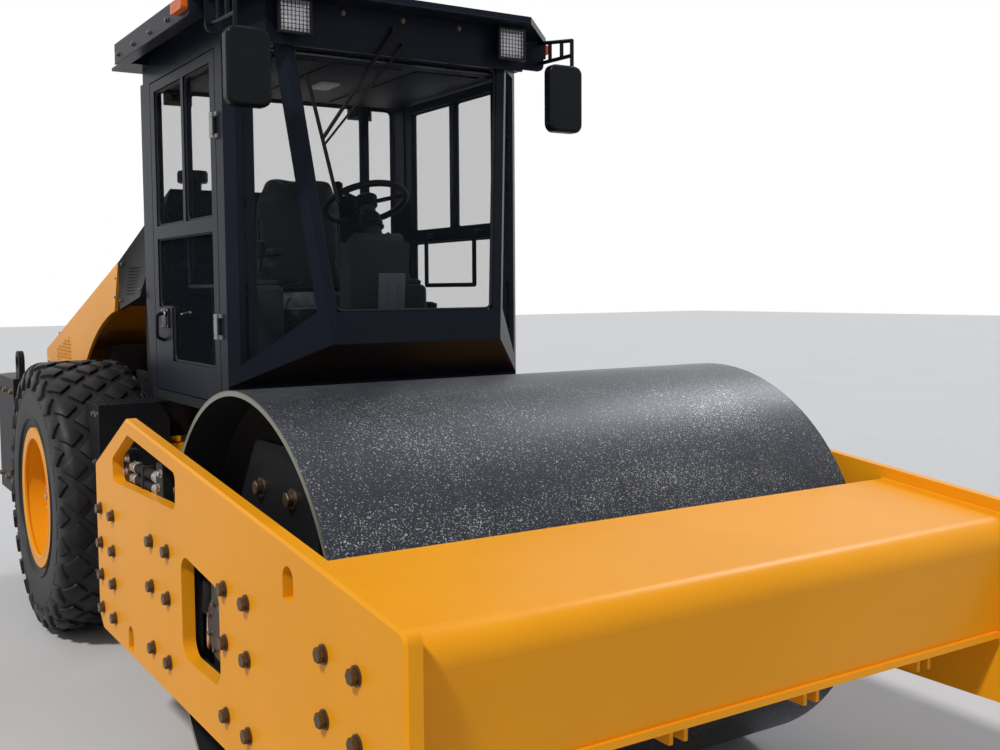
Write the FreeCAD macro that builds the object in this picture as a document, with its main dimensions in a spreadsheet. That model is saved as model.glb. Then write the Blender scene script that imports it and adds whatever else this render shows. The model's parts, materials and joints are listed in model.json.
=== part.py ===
"""Single-drum road roller, articulated in the middle, as separate solids.

Frame: millimetres, +X forward, +Y to the machine's left, +Z up, Z = 0 on the ground.
The steering pin stands on the Z axis, halfway along the machine.
"""
import FreeCAD, Part
import Sketcher
import math
import os
import re

# Driving dimensions: name, value in millimetres or degrees, meaning.
DIMENSIONS = [
    ("drum_forward", 1600, "steering pin to drum axis"),
    ("drum_radius", 775, "outside of the drum"),
    ("drum_width", 2130, "length of the drum shell"),
    ("drum_wall", 18, "drum shell"),
    ("drum_recess", 300, "drum end to the outer face of its web"),
    ("web_thick", 25, "drum web"),
    ("web_flare", 120, "extra depth of the cone between shell and web"),
    ("hub_radius", 175, "boss on the drum web"),
    ("axle_radius", 110, "stub axle of the drum"),
    ("pin_clearance", 0.3, "running clearance at pins and shafts"),
    ("plate_gap", 93, "drum end to the inner face of a side plate"),
    ("plate_thick", 45, "side plate"),
    ("plate_face", "=drum_width / 2 + plate_gap + plate_thick",
     "centre line to the outer face of a side plate"),
    ("plate_edge", 8, "chamfer along the side plate's outer edge"),
    ("plate_rear_x", 262, "rear edge of the side plate"),
    ("plate_bottom_z", 455, "bottom edge of the side plate"),
    ("plate_shoulder_z", 1159, "top of the side plate's rear edge"),
    ("plate_apex_x", 749, "highest corner of the side plate"),
    ("plate_apex_z", 1388, "highest corner of the side plate"),
    ("plate_nose_z", 1133, "top of the side plate's front edge"),
    ("plate_corner", 60, "chamfer of the lower corners"),
    ("plate_round", 30, "rounding of the side plate's corners"),
    ("bolt_flange", 26, "radius of a plate bolt's flange"),
    ("bolt_foot", 6, "flange of a plate bolt"),
    ("bolt_hex", 36, "plate bolt's head across its flats"),
    ("bolt_high", 22, "plate bolt's head over the side plate"),
    ("slot_width", 72, "tie-down slot"),
    ("slot_height", 92, "tie-down slot"),
    ("slot_ahead", 735, "drum axis to the middle of the front tie-down slot"),
    ("slot_rise", 600, "side plate's bottom edge to the foot of the front tie-down slot"),
    ("slot_margin", 30, "side plate's bottom edge to the foot of the rear tie-down slot"),
    ("beam_gap", 105, "drum to the rear wall of the front beam"),
    ("beam_box_x", "=drum_forward + drum_radius + beam_gap", "rear wall of the front beam"),
    ("beam_shelf", 110, "how far the front beam's top reaches behind its rear wall"),
    ("beam_back_x", "=beam_box_x - beam_shelf", "rear edge of the front beam's top"),
    ("beam_depth", 450, "rear wall to the front edge of the front beam's top"),
    ("beam_front_x", "=beam_box_x + beam_depth", "front edge of the front beam's top"),
    ("plate_nose", 48, "how far the side plate stands ahead of the front beam"),
    ("plate_front_x", "=beam_front_x + plate_nose", "front edge of the side plate"),
    ("beam_drop", 47, "side plate's top edge down to the beam's top"),
    ("beam_rake", 80, "how far the beam's foot lies behind its top edge"),
    ("beam_under", 90, "drum axis down to the underside of the front beam"),
    ("beam_bottom_z", "=drum_radius - beam_under", "underside of the front beam"),
    ("beam_lip", 22, "flange along the foot of the front beam's face"),
    ("bracket_drop", 60, "how far a scraper bracket hangs under the front beam"),
    ("bracket_thick", 14, "plate of a scraper bracket"),
    ("arm_width", 40, "scraper arm between its two bracket plates"),
    ("beam_wall", 16, "plate of the front beam"),
    ("beam_round", 75, "fold along the front beam's top edge"),
    ("cross_front_x", 575, "front face of the rear crossmember"),
    ("cross_rear_x", 290, "rear face of the rear crossmember"),
    ("cross_low_z", 505, "underside of the rear crossmember"),
    ("cross_high_z", 1020, "top of the rear crossmember"),
    ("cross_wall", 25, "plate of the rear crossmember"),
    ("swing_z", 750, "height of the swing shaft"),
    ("swing_radius", 80, "swing shaft"),
    ("bearing_radius", 150, "housing round the swing shaft"),
    ("bearing_length", 110, "housing behind the crossmember"),
    ("pin_radius", 60, "steering pin"),
    ("yoke_radius", 120, "upright barrel of the centre yoke"),
    ("yoke_low_z", 560, "foot of the centre yoke"),
    ("yoke_high_z", 940, "head of the centre yoke"),
    ("ear_gap", 6, "gap between yoke and chassis ears"),
    ("ear_thick", 50, "chassis ear"),
    ("ear_half_width", 150, "chassis ear, centre line to side"),
    ("head_front_x", -150, "front face of the chassis head"),
    ("head_rear_x", -520, "rear face of the chassis head"),
    ("rail_inner", 300, "centre line to the inner face of a rail"),
    ("rail_outer", 400, "centre line to the outer face of a rail"),
    ("rail_low_z", 885, "underside of the rails"),
    ("rail_high_z", 1120, "top of the rails"),
    ("rail_rear_x", -2828, "rear end of the rails, inside the counterweight"),
    ("tower_high_z", 1320, "top of the cab towers"),
    ("tower_wall", 30, "plate of the cab towers"),
    ("axle_back", 1357, "steering pin to rear axle"),
    ("tyre_radius", 748, "outside of the tyre, over its lugs"),
    ("tyre_width", 520, "tyre"),
    ("wheel_center", 900, "centre line to the middle of a tyre"),
    ("rim_radius", 330, "bead seat of the rim"),
    ("flange_radius", 386, "outer edge of the rim flange"),
    ("rim_face", 1149, "centre line to the rim's outer edge"),
    ("rim_wall", 22, "rim"),
    ("dish_face", 985, "centre line to the outer face of the wheel disc"),
    ("dish_thick", 24, "wheel disc"),
    ("planet_radius", 165, "planetary hub of the axle"),
    ("axle_tube", 115, "axle housing tube"),
    ("diff_radius", 235, "differential housing"),
    ("counter_front_x", -2330, "front of the counterweight"),
    ("counter_rear_x", -2978, "rear of the counterweight"),
    ("counter_half", 1080, "centre line to the counterweight's side"),
    ("counter_low_z", 590, "underside of the counterweight"),
    ("counter_high_z", 1335, "top of the counterweight"),
    ("counter_wall", 60, "plate of the counterweight"),
    ("eye_height", 170, "lifting eye above the counterweight"),
    ("jaw_half", 90, "half width of the tow jaw"),
    ("jaw_gap", 90, "height of the tow jaw"),
    ("jaw_deep", 110, "depth of the tow jaw"),
    ("jaw_z", 760, "middle of the tow jaw"),
    ("jaw_pin", 20, "pin of the tow jaw"),
    ("eye_hole", 38, "radius of the lifting eye's hole"),
    ("engine_front_x", -1330, "front of the engine"),
    ("engine_length", 960, "engine"),
    ("engine_half", 320, "centre line to the engine's side"),
    ("engine_high_z", 1640, "top of the engine at its front"),
    ("radiator_front_x", -2560, "front of the radiator"),
    ("radiator_depth", 120, "radiator"),
    ("radiator_high_z", 1520, "top of the radiator"),
    ("step_front_x", -500, "front of the step boxes"),
    ("step_inner", 650, "centre line to the step box's inner side"),
    ("step_outer", 1000, "centre line to the step box's outer side"),
    ("step_low_z", 980, "underside of the step boxes"),
    ("step_high_z", 1320, "top of the step boxes"),
    ("cab_rear_x", -580, "rear wall of the cab, above its bend"),
    ("cab_foot_x", -510, "rear edge of the cab at its floor"),
    ("cab_bend_z", 1830, "height where the cab's rear wall bends forward"),
    ("cab_pillar_x", 595, "front of the cab's side walls"),
    ("cab_half", 728, "centre line to the cab's side"),
    ("cab_low_z", 1350, "underside of the cab"),
    ("cab_high_z", 2900, "top of the cab walls"),
    ("cab_wall", 45, "pillars and walls of the cab"),
    ("floor_thick", 45, "cab floor"),
    ("nose_low_z", 1654, "foot of the cab's front band"),
    ("nose_low_x", 941, "foot of the cab's front band"),
    ("nose_low_half", 408, "half width of the front band's foot"),
    ("nose_high_x", 790, "head of the windshield frame"),
    ("nose_high_half", 540, "half width of the windshield frame's head"),
    ("belly_rear_z", 1472, "rear edge of the sloping belly under the nose"),
    ("windshield_low_z", 1785, "bottom of the windshield"),
    ("windshield_high_z", 2868, "top of the windshield"),
    ("glass_thick", 8, "panes"),
    ("glass_inset", 15, "outer face of the frame to the pane"),
    ("post_width", 42, "post between the windshield and a quarter pane"),
    ("roof_rear_x", -485, "rear edge of the roof"),
    ("roof_front_x", 960, "front edge of the roof"),
    ("roof_corner_x", 650, "where the roof's front corners begin"),
    ("roof_half", 875, "centre line to the roof's side"),
    ("roof_front_half", 570, "half width of the roof's front edge"),
    ("roof_high_z", 3070, "top of the roof"),
    ("roof_slab", 30, "thickness of the roof's top"),
    ("roof_fascia", 95, "height of the roof's side and rear edges"),
    ("roof_flange", 60, "width of the roof's folded edge"),
    ("roof_lip", 175, "how far the lip reaches behind the roof"),
    ("roof_lip_thick", 15, "lip behind the roof"),
    ("tray_front_x", 812, "front of the header box under the roof"),
    ("tray_half", 728, "centre line to the side of the header box"),
    ("visor_low_z", 2861, "lower edge of the plate over the windshield"),
    ("visor_thick", 14, "plate over the windshield"),
    ("tray_front_half", 620, "half width of the header box's front"),
    ("horn_x", 692, "middle of a front corner plate"),
    ("horn_half", 826, "centre line to the outer end of a front corner plate"),
    ("horn_low_z", "=cab_high_z", "lower edge of the front corner plates"),
    ("horn_thick", 14, "front corner plate"),
    ("door_rear_x", -420, "rear edge of a door"),
    ("door_front_x", 505, "front edge of a door"),
    ("door_low_z", 1400, "bottom edge of a door"),
    ("door_high_z", 2880, "top edge of a door"),
    ("door_thick", 38, "door"),
    ("door_gap", 7, "gap round a door"),
    ("door_rail", 62, "frame of a door round its panes"),
    ("door_waist_z", 2160, "middle of the door's cross rail"),
    ("door_divider_x", 70, "middle of the bar in the upper pane"),
    ("door_bar", 34, "bar in the upper pane"),
    ("door_pane_low_z", 1545, "bottom of the lower pane"),
    ("rear_bar_side", 505, "centre line to a bar of the rear window"),
    ("door_notch_x", -155, "front end of the lower pane's notch"),
    ("door_notch_z", 1800, "top of the lower pane's notch"),
    ("hinge_radius", 11, "door hinge barrel"),
    ("hinge_pin", 5, "radius of a door hinge's pin"),
    ("hinge_out", 15, "cab side to the door hinges' axis"),
    ("hinge_low_z", 1690, "foot of the lower door hinge"),
    ("hinge_high_z", 2530, "foot of the upper door hinge"),
    ("hinge_length", 70, "door hinge barrel"),
    ("grab_rear_x", -120, "rear leg of a door's grab rail"),
    ("grab_front_x", 356, "front leg of a door's grab rail"),
    ("grab_low_z", 1896, "foot of a door's grab rail"),
    ("grab_out", 45, "door's inner face to the grab rail"),
    ("grab_radius", 11, "grab rail"),
    ("cowl_front_x", -618, "front of the black cowl"),
    ("cowl_rear_x", -1012, "rear of the black cowl"),
    ("cowl_high_z", 2400, "top of the black cowl"),
    ("cowl_high_half", 580, "half width of the black cowl's top"),
    ("cowl_low_z", 1849, "front lower edge of the black cowl"),
    ("cowl_wall", 20, "shell of the black cowl"),
    ("hood_half", 750, "centre line to the hood's side"),
    ("hood_front_x", -1022, "front edge of the hood"),
    ("hood_front_z", 2035, "top of the hood's front edge"),
    ("hood_front_low_z", 1771, "foot of the hood's front edge"),
    ("hood_rear_x", -2945, "rear of the hood"),
    ("hood_rear_z", 1490, "top of the hood's rear edge"),
    ("hood_low_z", 1370, "lower edge of the hood"),
    ("arch_mid_x", -1530, "point on the hood's wheel arch"),
    ("arch_mid_z", 1640, "point on the hood's wheel arch"),
    ("arch_rear_x", -1920, "rear end of the hood's wheel arch"),
    ("hood_wall", 18, "shell of the hood"),
    ("hood_hinge_y", 450, "centre line to a hood hinge"),
    ("tank_inner", 430, "centre line to the inner face of a tank"),
    ("tank_outer", 610, "centre line to the outer face of a tank"),
    ("seat_side", 0, "centre line to the middle of the seat"),
    ("seat_x", -110, "middle of the seat cushion"),
    ("seat_z", 1860, "top of the seat cushion"),
    ("seat_width", 480, "seat cushion"),
    ("seat_depth", 470, "seat cushion"),
    ("back_height", 600, "seat back"),
    ("wheel_x", 450, "middle of the steering wheel"),
    ("wheel_z", 2270, "middle of the steering wheel"),
    ("wheel_radius", 185, "steering wheel"),
    ("wheel_tilt", 25, "steering wheel's lean in degrees"),
    ("wheel_tube", 15, "rim of the steering wheel"),
    ("mirror_x", 980, "front face of a mirror"),
    ("mirror_side", 752, "centre line to the middle of a mirror"),
    ("mirror_z", 2727, "middle of a mirror"),
    ("mirror_width", 182, "mirror"),
    ("mirror_height", 300, "mirror"),
    ("mirror_depth", 48, "mirror housing"),
    ("mirror_round", 40, "corners of a mirror housing"),
    ("mirror_arm", 9, "radius of a mirror arm's tubes"),
    ("lamp_side", 520, "centre line to a work lamp"),
    ("lamp_face_x", 887, "front of a front work lamp"),
    ("lamp_width", 145, "work lamp"),
    ("lamp_height", 142, "work lamp"),
    ("lamp_depth", 60, "work lamp"),
    ("lamp_back", 90, "width of a work lamp's back"),
    ("lamp_bezel", 10, "frame round a work lamp's lens"),
    ("marker_x", 565, "middle of a marker lamp on the roof's side"),
    ("marker_length", 140, "marker lamp"),
    ("marker_height", 46, "marker lamp"),
    ("marker_out", 28, "marker lamp"),
    ("tail_side", 860, "centre line to a tail lamp"),
    ("tail_z", 1180, "middle of a tail lamp"),
    ("tail_width", 150, "tail lamp"),
    ("tail_height", 70, "tail lamp"),
    ("tail_depth", 22, "tail lamp's recess"),
    ("wiper_side", 49, "centre line to the wiper's pivot"),
    ("wiper_z", 2970, "wiper's pivot"),
    ("wiper_reach", 350, "wiper's pivot to the middle of its blade, across"),
    ("wiper_fall", 480, "wiper's pivot to the middle of its blade, down"),
    ("wiper_blade", 258, "half of the wiper blade's fall"),
    ("blade_lean", 50, "half of the wiper blade's reach across"),
    ("wiper_ahead", 16, "windshield to the wiper"),
    ("post_gap", 440, "rear hose post to the front one"),
    ("post_x", 560, "rear face of the rear hose post"),
    ("post_wide", 80, "hose post along the side plate"),
    ("post_deep", 38, "hose post across the side plate"),
    ("post_low_z", 1030, "foot of the hose posts"),
    ("post_high_z", 1250, "head of the hose posts"),
    ("hose_radius", 19, "hose between the posts"),
    ("hose_pitch", 45, "hose to hose"),
    ("carrier_half", 330, "drum carrier, axis to side"),
    ("carrier_up", 590, "drum carrier, axis to its top"),
    ("carrier_down", 400, "drum carrier, axis to its foot"),
    ("carrier_cut", 150, "cut corners of the drum carrier"),
    ("grille_pitch", 44, "hood grille, hole to hole"),
    ("grille_hole", 30, "hood grille, hole from corner to corner"),
    ("barrel_radius", 42, "steering cylinder"),
    ("rod_radius", 22, "steering cylinder rod"),
    ("steer_anchor_x", -560, "rear pin of a steering cylinder"),
    ("steer_anchor_y", 225, "rear pin of a steering cylinder"),
    ("steer_lug_x", 60, "front pin of a steering cylinder"),
    ("steer_lug_y", 205, "front pin of a steering cylinder"),
    ("steer_z", 750, "height of the steering cylinders"),
    ("eye_radius", 38, "eye at a cylinder's end"),
    ("eye_thick", 50, "eye at a cylinder's end"),
]

doc = FreeCAD.newDocument("road_roller")
sheet = doc.addObject("Spreadsheet::Sheet", "sizes")
NAMES = [name for name, value, meaning in DIMENSIONS]
for row, (name, value, meaning) in enumerate(DIMENSIONS, start=1):
    sheet.set("A%d" % row, name)
    sheet.set("B%d" % row, str(value))
    sheet.set("C%d" % row, meaning)
    sheet.setAlias("B%d" % row, name)
doc.recompute()

SIDES = (("right", -1), ("left", 1))
exported = []


def bind(text):
    """The expression with each size name pointed at the sheet."""
    def point(match):
        word = match.group()
        return "sizes." + word if word in NAMES else word
    return re.sub(r"[a-z_]+", point, str(text))


def value(text):
    """The number that an expression of size names gives."""
    result = sheet.evalExpression(str(text))
    return float(result)


def vector(x, y, z):
    """A point from three expressions."""
    return FreeCAD.Vector(value(x), value(y), value(z))


def keep(thing, label):
    """Names a finished sub-part and lists it for export."""
    thing.Label = label
    exported.append(thing)
    return thing


def origin_plane(body, role):
    """The body's own origin plane with this role."""
    return next(item for item in body.Origin.OriginFeatures if item.Role == role)


def new_body(name):
    """An empty body that may hold several lumps."""
    body = doc.addObject("PartDesign::Body", name)
    body.AllowCompound = True
    return body


# Role of the sketch plane, and the sign of its normal along the named axis.
PLANES = {"XY": ("XY_Plane", 1), "XZ": ("XZ_Plane", -1), "YZ": ("YZ_Plane", 1)}


def sketch_on(body, plane, offset):
    """A sketch on an origin plane, moved along that plane's axis to the offset."""
    role, sign = PLANES[plane]
    sketch = body.newObject("Sketcher::SketchObject", body.Name + "_sketch")
    sketch.AttachmentSupport = [(origin_plane(body, role), "")]
    sketch.MapMode = "FlatFace"
    sketch.setExpression("AttachmentOffset.Base.z", bind("%d * (%s)" % (sign, offset)))
    return sketch


def draw_outline(sketch, rows):
    """A closed outline whose corners are held by the sheet's sizes."""
    first = sketch.GeometryCount
    points = [FreeCAD.Vector(value(u), value(v), 0) for u, v in rows]
    count = len(points)
    for index in range(count):
        sketch.addGeometry(Part.LineSegment(points[index], points[(index + 1) % count]), False)
    for index in range(count):
        after = (index + 1) % count
        sketch.addConstraint(Sketcher.Constraint("Coincident", first + index, 2, first + after, 1))
    for index, (u, v) in enumerate(rows):
        for kind, text, number in (("DistanceX", u, points[index].x), ("DistanceY", v, points[index].y)):
            place = sketch.addConstraint(Sketcher.Constraint(kind, -1, 1, first + index, 1, number))
            sketch.setExpression("Constraints[%d]" % place, bind(text))


def draw_circle(sketch, u, v, radius):
    """A circle whose centre and radius are held by the sheet's sizes."""
    centre = FreeCAD.Vector(value(u), value(v), 0)
    circle = sketch.addGeometry(Part.Circle(centre, FreeCAD.Vector(0, 0, 1), value(radius)), False)
    for kind, text, number in (("DistanceX", u, centre.x), ("DistanceY", v, centre.y)):
        place = sketch.addConstraint(Sketcher.Constraint(kind, -1, 1, circle, 3, number))
        sketch.setExpression("Constraints[%d]" % place, bind(text))
    place = sketch.addConstraint(Sketcher.Constraint("Radius", circle, value(radius)))
    sketch.setExpression("Constraints[%d]" % place, bind(radius))


def pad(body, plane, rows, low, high):
    """Adds a prism of the outline between two offsets from the plane."""
    start = low if PLANES[plane][1] > 0 else high
    sketch = sketch_on(body, plane, start)
    draw_outline(sketch, rows)
    feature = body.newObject("PartDesign::Pad", body.Name + "_pad")
    feature.Profile = sketch
    feature.setExpression("Length", bind("(%s) - (%s)" % (high, low)))
    doc.recompute()
    return feature


def pad_circle(body, plane, u, v, radius, low, high):
    """Adds a round bar between two offsets from the plane."""
    start = low if PLANES[plane][1] > 0 else high
    sketch = sketch_on(body, plane, start)
    draw_circle(sketch, u, v, radius)
    feature = body.newObject("PartDesign::Pad", body.Name + "_pad")
    feature.Profile = sketch
    feature.setExpression("Length", bind("(%s) - (%s)" % (high, low)))
    doc.recompute()
    return feature


def finish_pocket(body, sketch, low, high):
    """Cuts the sketch's outline between two offsets, and checks that it cut."""
    before = body.Shape.Volume
    feature = body.newObject("PartDesign::Pocket", body.Name + "_pocket")
    feature.Profile = sketch
    feature.setExpression("Length", bind("(%s) - (%s)" % (high, low)))
    doc.recompute()
    if body.Shape.Volume >= before:
        raise ValueError("a pocket in %s cuts nothing" % body.Name)
    return feature


def pocket(body, plane, rows, low, high):
    """Cuts a prism of the outline between two offsets from the plane."""
    start = high if PLANES[plane][1] > 0 else low
    sketch = sketch_on(body, plane, start)
    draw_outline(sketch, rows)
    return finish_pocket(body, sketch, low, high)


def pocket_circle(body, plane, u, v, radius, low, high):
    """Cuts a round hole between two offsets from the plane."""
    start = high if PLANES[plane][1] > 0 else low
    sketch = sketch_on(body, plane, start)
    draw_circle(sketch, u, v, radius)
    return finish_pocket(body, sketch, low, high)


def edges_near(shape, plane, corners, tolerance=1.0):
    """Names of the straight edges that stand on the plane at the given corners."""
    drop = {"XY": 2, "XZ": 1, "YZ": 0}[plane]
    found = []
    for number, edge in enumerate(shape.Edges, start=1):
        if len(edge.Vertexes) != 2:
            continue
        ends = [list(vertex.Point) for vertex in edge.Vertexes]
        flat = [[c for axis, c in enumerate(end) if axis != drop] for end in ends]
        if max(abs(flat[0][0] - flat[1][0]), abs(flat[0][1] - flat[1][1])) > tolerance:
            continue
        for u, v in corners:
            if abs(flat[0][0] - value(u)) < tolerance and abs(flat[0][1] - value(v)) < tolerance:
                found.append("Edge%d" % number)
    return found


def fillet(body, plane, corners, radius):
    """Rounds the edges that stand on the plane at the given corners."""
    names = edges_near(body.Shape, plane, corners)
    if not names:
        raise ValueError("no edge to round in %s" % body.Name)
    base = body.Tip
    feature = body.newObject("PartDesign::Fillet", body.Name + "_fillet")
    feature.Base = (base, names)
    feature.setExpression("Radius", bind(radius))
    doc.recompute()
    return feature


def chamfer_side(body, y, size):
    """Chamfers every edge that lies in the plane at y."""
    names = []
    for number, edge in enumerate(body.Shape.Edges, start=1):
        if all(abs(vertex.Y - y) < 0.01 for vertex in edge.Vertexes):
            names.append("Edge%d" % number)
    base = body.Tip
    feature = body.newObject("PartDesign::Chamfer", body.Name + "_chamfer")
    feature.Base = (base, names)
    feature.setExpression("Size", bind(size))
    doc.recompute()


def place(body, x, y, z):
    """Moves a sub-part to a point given by expressions."""
    for axis, text in (("x", x), ("y", y), ("z", z)):
        body.setExpression("Placement.Base." + axis, bind(text))


def revolve(body, rows, plane="YZ", axis="Y_Axis"):
    """Adds the outline turned a full turn about one of the body's axes."""
    sketch = sketch_on(body, plane, "0")
    draw_outline(sketch, rows)
    feature = body.newObject("PartDesign::Revolution", body.Name + "_revolution")
    feature.Profile = sketch
    feature.ReferenceAxis = (origin_plane(body, axis), [""])
    feature.Angle = 360
    doc.recompute()
    return feature


def box(x_low, x_high, y_low, y_high, z_low, z_high):
    """A box between six expressions, bound to the sheet."""
    item = doc.addObject("Part::Box", "block")
    for name, low, high in (("Length", x_low, x_high), ("Width", y_low, y_high), ("Height", z_low, z_high)):
        item.setExpression(name, bind("(%s) - (%s)" % (high, low)))
    place(item, x_low, y_low, z_low)
    return item


TURNS = {
    "X": FreeCAD.Rotation(FreeCAD.Vector(0, 1, 0), 90),
    "Y": FreeCAD.Rotation(FreeCAD.Vector(1, 0, 0), -90),
    "Z": FreeCAD.Rotation(),
}


def bar(axis, radius, length, x, y, z):
    """A cylinder along +X, +Y or +Z from a point, bound to the sheet."""
    item = doc.addObject("Part::Cylinder", "bar")
    item.Placement = FreeCAD.Placement(FreeCAD.Vector(), TURNS[axis])
    item.setExpression("Radius", bind(radius))
    item.setExpression("Height", bind(length))
    place(item, x, y, z)
    return item


def fuse(*items):
    """One solid from several."""
    item = doc.addObject("Part::MultiFuse", "fusion")
    item.Shapes = list(items)
    item.Refine = True
    return item


def cut(base, *tools):
    """The base less each tool."""
    for tool in tools:
        item = doc.addObject("Part::Cut", "cut")
        item.Base = base
        item.Tool = tool
        base = item
    return base


def common(first, second):
    """What two solids share."""
    item = doc.addObject("Part::Common", "common")
    item.Base = first
    item.Tool = second
    return item


def group(*items):
    """Several solids that don't touch, in one node."""
    item = doc.addObject("Part::Compound", "group")
    item.Links = list(items)
    return item


def solid(shape, name="form"):
    """A document object that holds a shape made with Part's own functions."""
    item = doc.addObject("Part::Feature", name)
    item.Shape = shape
    return item


def loft(*sections):
    """A straight-sided solid through flat polygons of the same number of corners."""
    wires = [Part.makePolygon(list(points) + [points[0]]) for points in sections]
    return Part.makeLoft(wires, True, True)


def rod(start, end, radius):
    """A round bar between two points."""
    return Part.makeCylinder(radius, (end - start).Length, start, end - start)


def bent_rod(points, radius):
    """A round bar along straight runs, with a ball at each bend."""
    shape = rod(points[0], points[1], radius)
    for start, end in zip(points[1:], points[2:]):
        shape = shape.fuse(Part.makeSphere(radius, start)).fuse(rod(start, end, radius))
    return shape


def mirror_y(shape, side):
    """The shape itself on the left, or its mirror image on the right."""
    if side > 0:
        return shape
    return shape.mirror(FreeCAD.Vector(), FreeCAD.Vector(0, 1, 0))


def span(side, inner, outer):
    """Low and high Y of a band between two distances from the centre line."""
    if side > 0:
        return inner, outer
    return "-(%s)" % outer, "-(%s)" % inner


# Front frame: two side plates, the folded front beam and the rear crossmember.

PLATE_OUTLINE = [
    ("plate_rear_x", "plate_bottom_z + plate_corner"),
    ("plate_rear_x + plate_corner", "plate_bottom_z"),
    ("plate_front_x - plate_corner", "plate_bottom_z"),
    ("plate_front_x", "plate_bottom_z + plate_corner"),
    ("plate_front_x", "plate_nose_z"),
    ("plate_apex_x", "plate_apex_z"),
    ("plate_rear_x", "plate_shoulder_z"),
]
# Corners of the hose window: ahead of the plate's apex, above it.
HOSE_WINDOW = [("plate_apex_x + (%d)" % ahead, "plate_apex_z + (%d)" % above) for ahead, above in (
    (-203, -178), (-196, -270), (614, -254), (623, -126), (31, -59))]
# Corners of the motor window: ahead of the drum's axis, above it.
MOTOR_WINDOW = [("drum_forward + (%d)" % ahead, "drum_radius + (%d)" % above) for ahead, above in (
    (-189, -130), (187, -130), (187, 182), (-189, 225))]
# Tie-down slots: middle, foot.
TIE_SLOTS = [("drum_forward + slot_ahead", "plate_bottom_z + slot_rise"),
             ("plate_apex_x + 6", "plate_bottom_z + slot_margin")]


# Plate bolts: columns along X, then how high their rows stand over the plate's bottom edge.
PLATE_BOLTS = [
    (("plate_rear_x + 75", "plate_rear_x + 268"), (518, 374, 239, 98)),
    (("drum_forward - 532", "drum_forward - 337", "drum_forward + 238", "drum_forward + 424"),
     (518, 352, 125)),
    (("beam_box_x + 77", "beam_box_x + 262"), (518, 352, 125)),
]


def plate_bolts(side):
    """Flanged heads on the outer face of a side plate."""
    heads = []
    foot, _ = span(side, "plate_face", "plate_face + bolt_foot")
    top, _ = span(side, "plate_face + bolt_foot", "plate_face + bolt_high")
    for columns, rows in PLATE_BOLTS:
        for x in columns:
            for rise in rows:
                z = "plate_bottom_z + %d" % rise
                heads.append(bar("Y", "bolt_flange", "bolt_foot", x, foot, z))
                head = doc.addObject("Part::Prism", "bolt_head")
                head.Polygon = 6
                head.Placement = FreeCAD.Placement(FreeCAD.Vector(), TURNS["Y"])
                head.setExpression("Circumradius", bind("bolt_hex / 2 / cos(30)"))
                head.setExpression("Height", bind("bolt_high - bolt_foot"))
                place(head, x, top, z)
                heads.append(head)
    return heads


def side_plate(name, side):
    """One cut plate of the front frame with its bolt heads."""
    body = new_body("plate_blank_" + name)
    low, high = span(side, "plate_face - plate_thick", "plate_face")
    pad(body, "XZ", PLATE_OUTLINE, low, high)
    fillet(body, "XZ", [("plate_front_x", "plate_nose_z"), ("plate_rear_x", "plate_shoulder_z")],
           "plate_round")
    chamfer_side(body, value("%d * plate_face" % side), "plate_edge")
    pocket(body, "XZ", HOSE_WINDOW, low, high)
    fillet(body, "XZ", HOSE_WINDOW, "plate_round")
    pocket(body, "XZ", MOTOR_WINDOW, low, high)
    fillet(body, "XZ", MOTOR_WINDOW, "2 * plate_round")
    for middle, foot in TIE_SLOTS:
        rows = [(middle + " - slot_width / 2", foot), (middle + " + slot_width / 2", foot),
                (middle + " + slot_width / 2", foot + " + slot_height"),
                (middle + " - slot_width / 2", foot + " + slot_height")]
        pocket(body, "XZ", rows, low, high)
        fillet(body, "XZ", rows[2:], "slot_width / 2 - 1")
    keep(fuse(body, *plate_bolts(side)), "side_plate_" + name)


for name, side in SIDES:
    side_plate(name, side)

SLOPE = "(plate_apex_z - plate_nose_z) / (plate_front_x - plate_apex_x)"


def beam_top(x):
    """Height of the front beam's top at x, parallel to the side plate's top edge."""
    return "plate_apex_z - (%s - plate_apex_x) * %s - beam_drop" % (x, SLOPE)


# Middles of the four scraper arms along the drum.
SCRAPER_ARMS = ["drum_width * %d / 8" % share for share in (-3, -1, 1, 3)]


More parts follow.
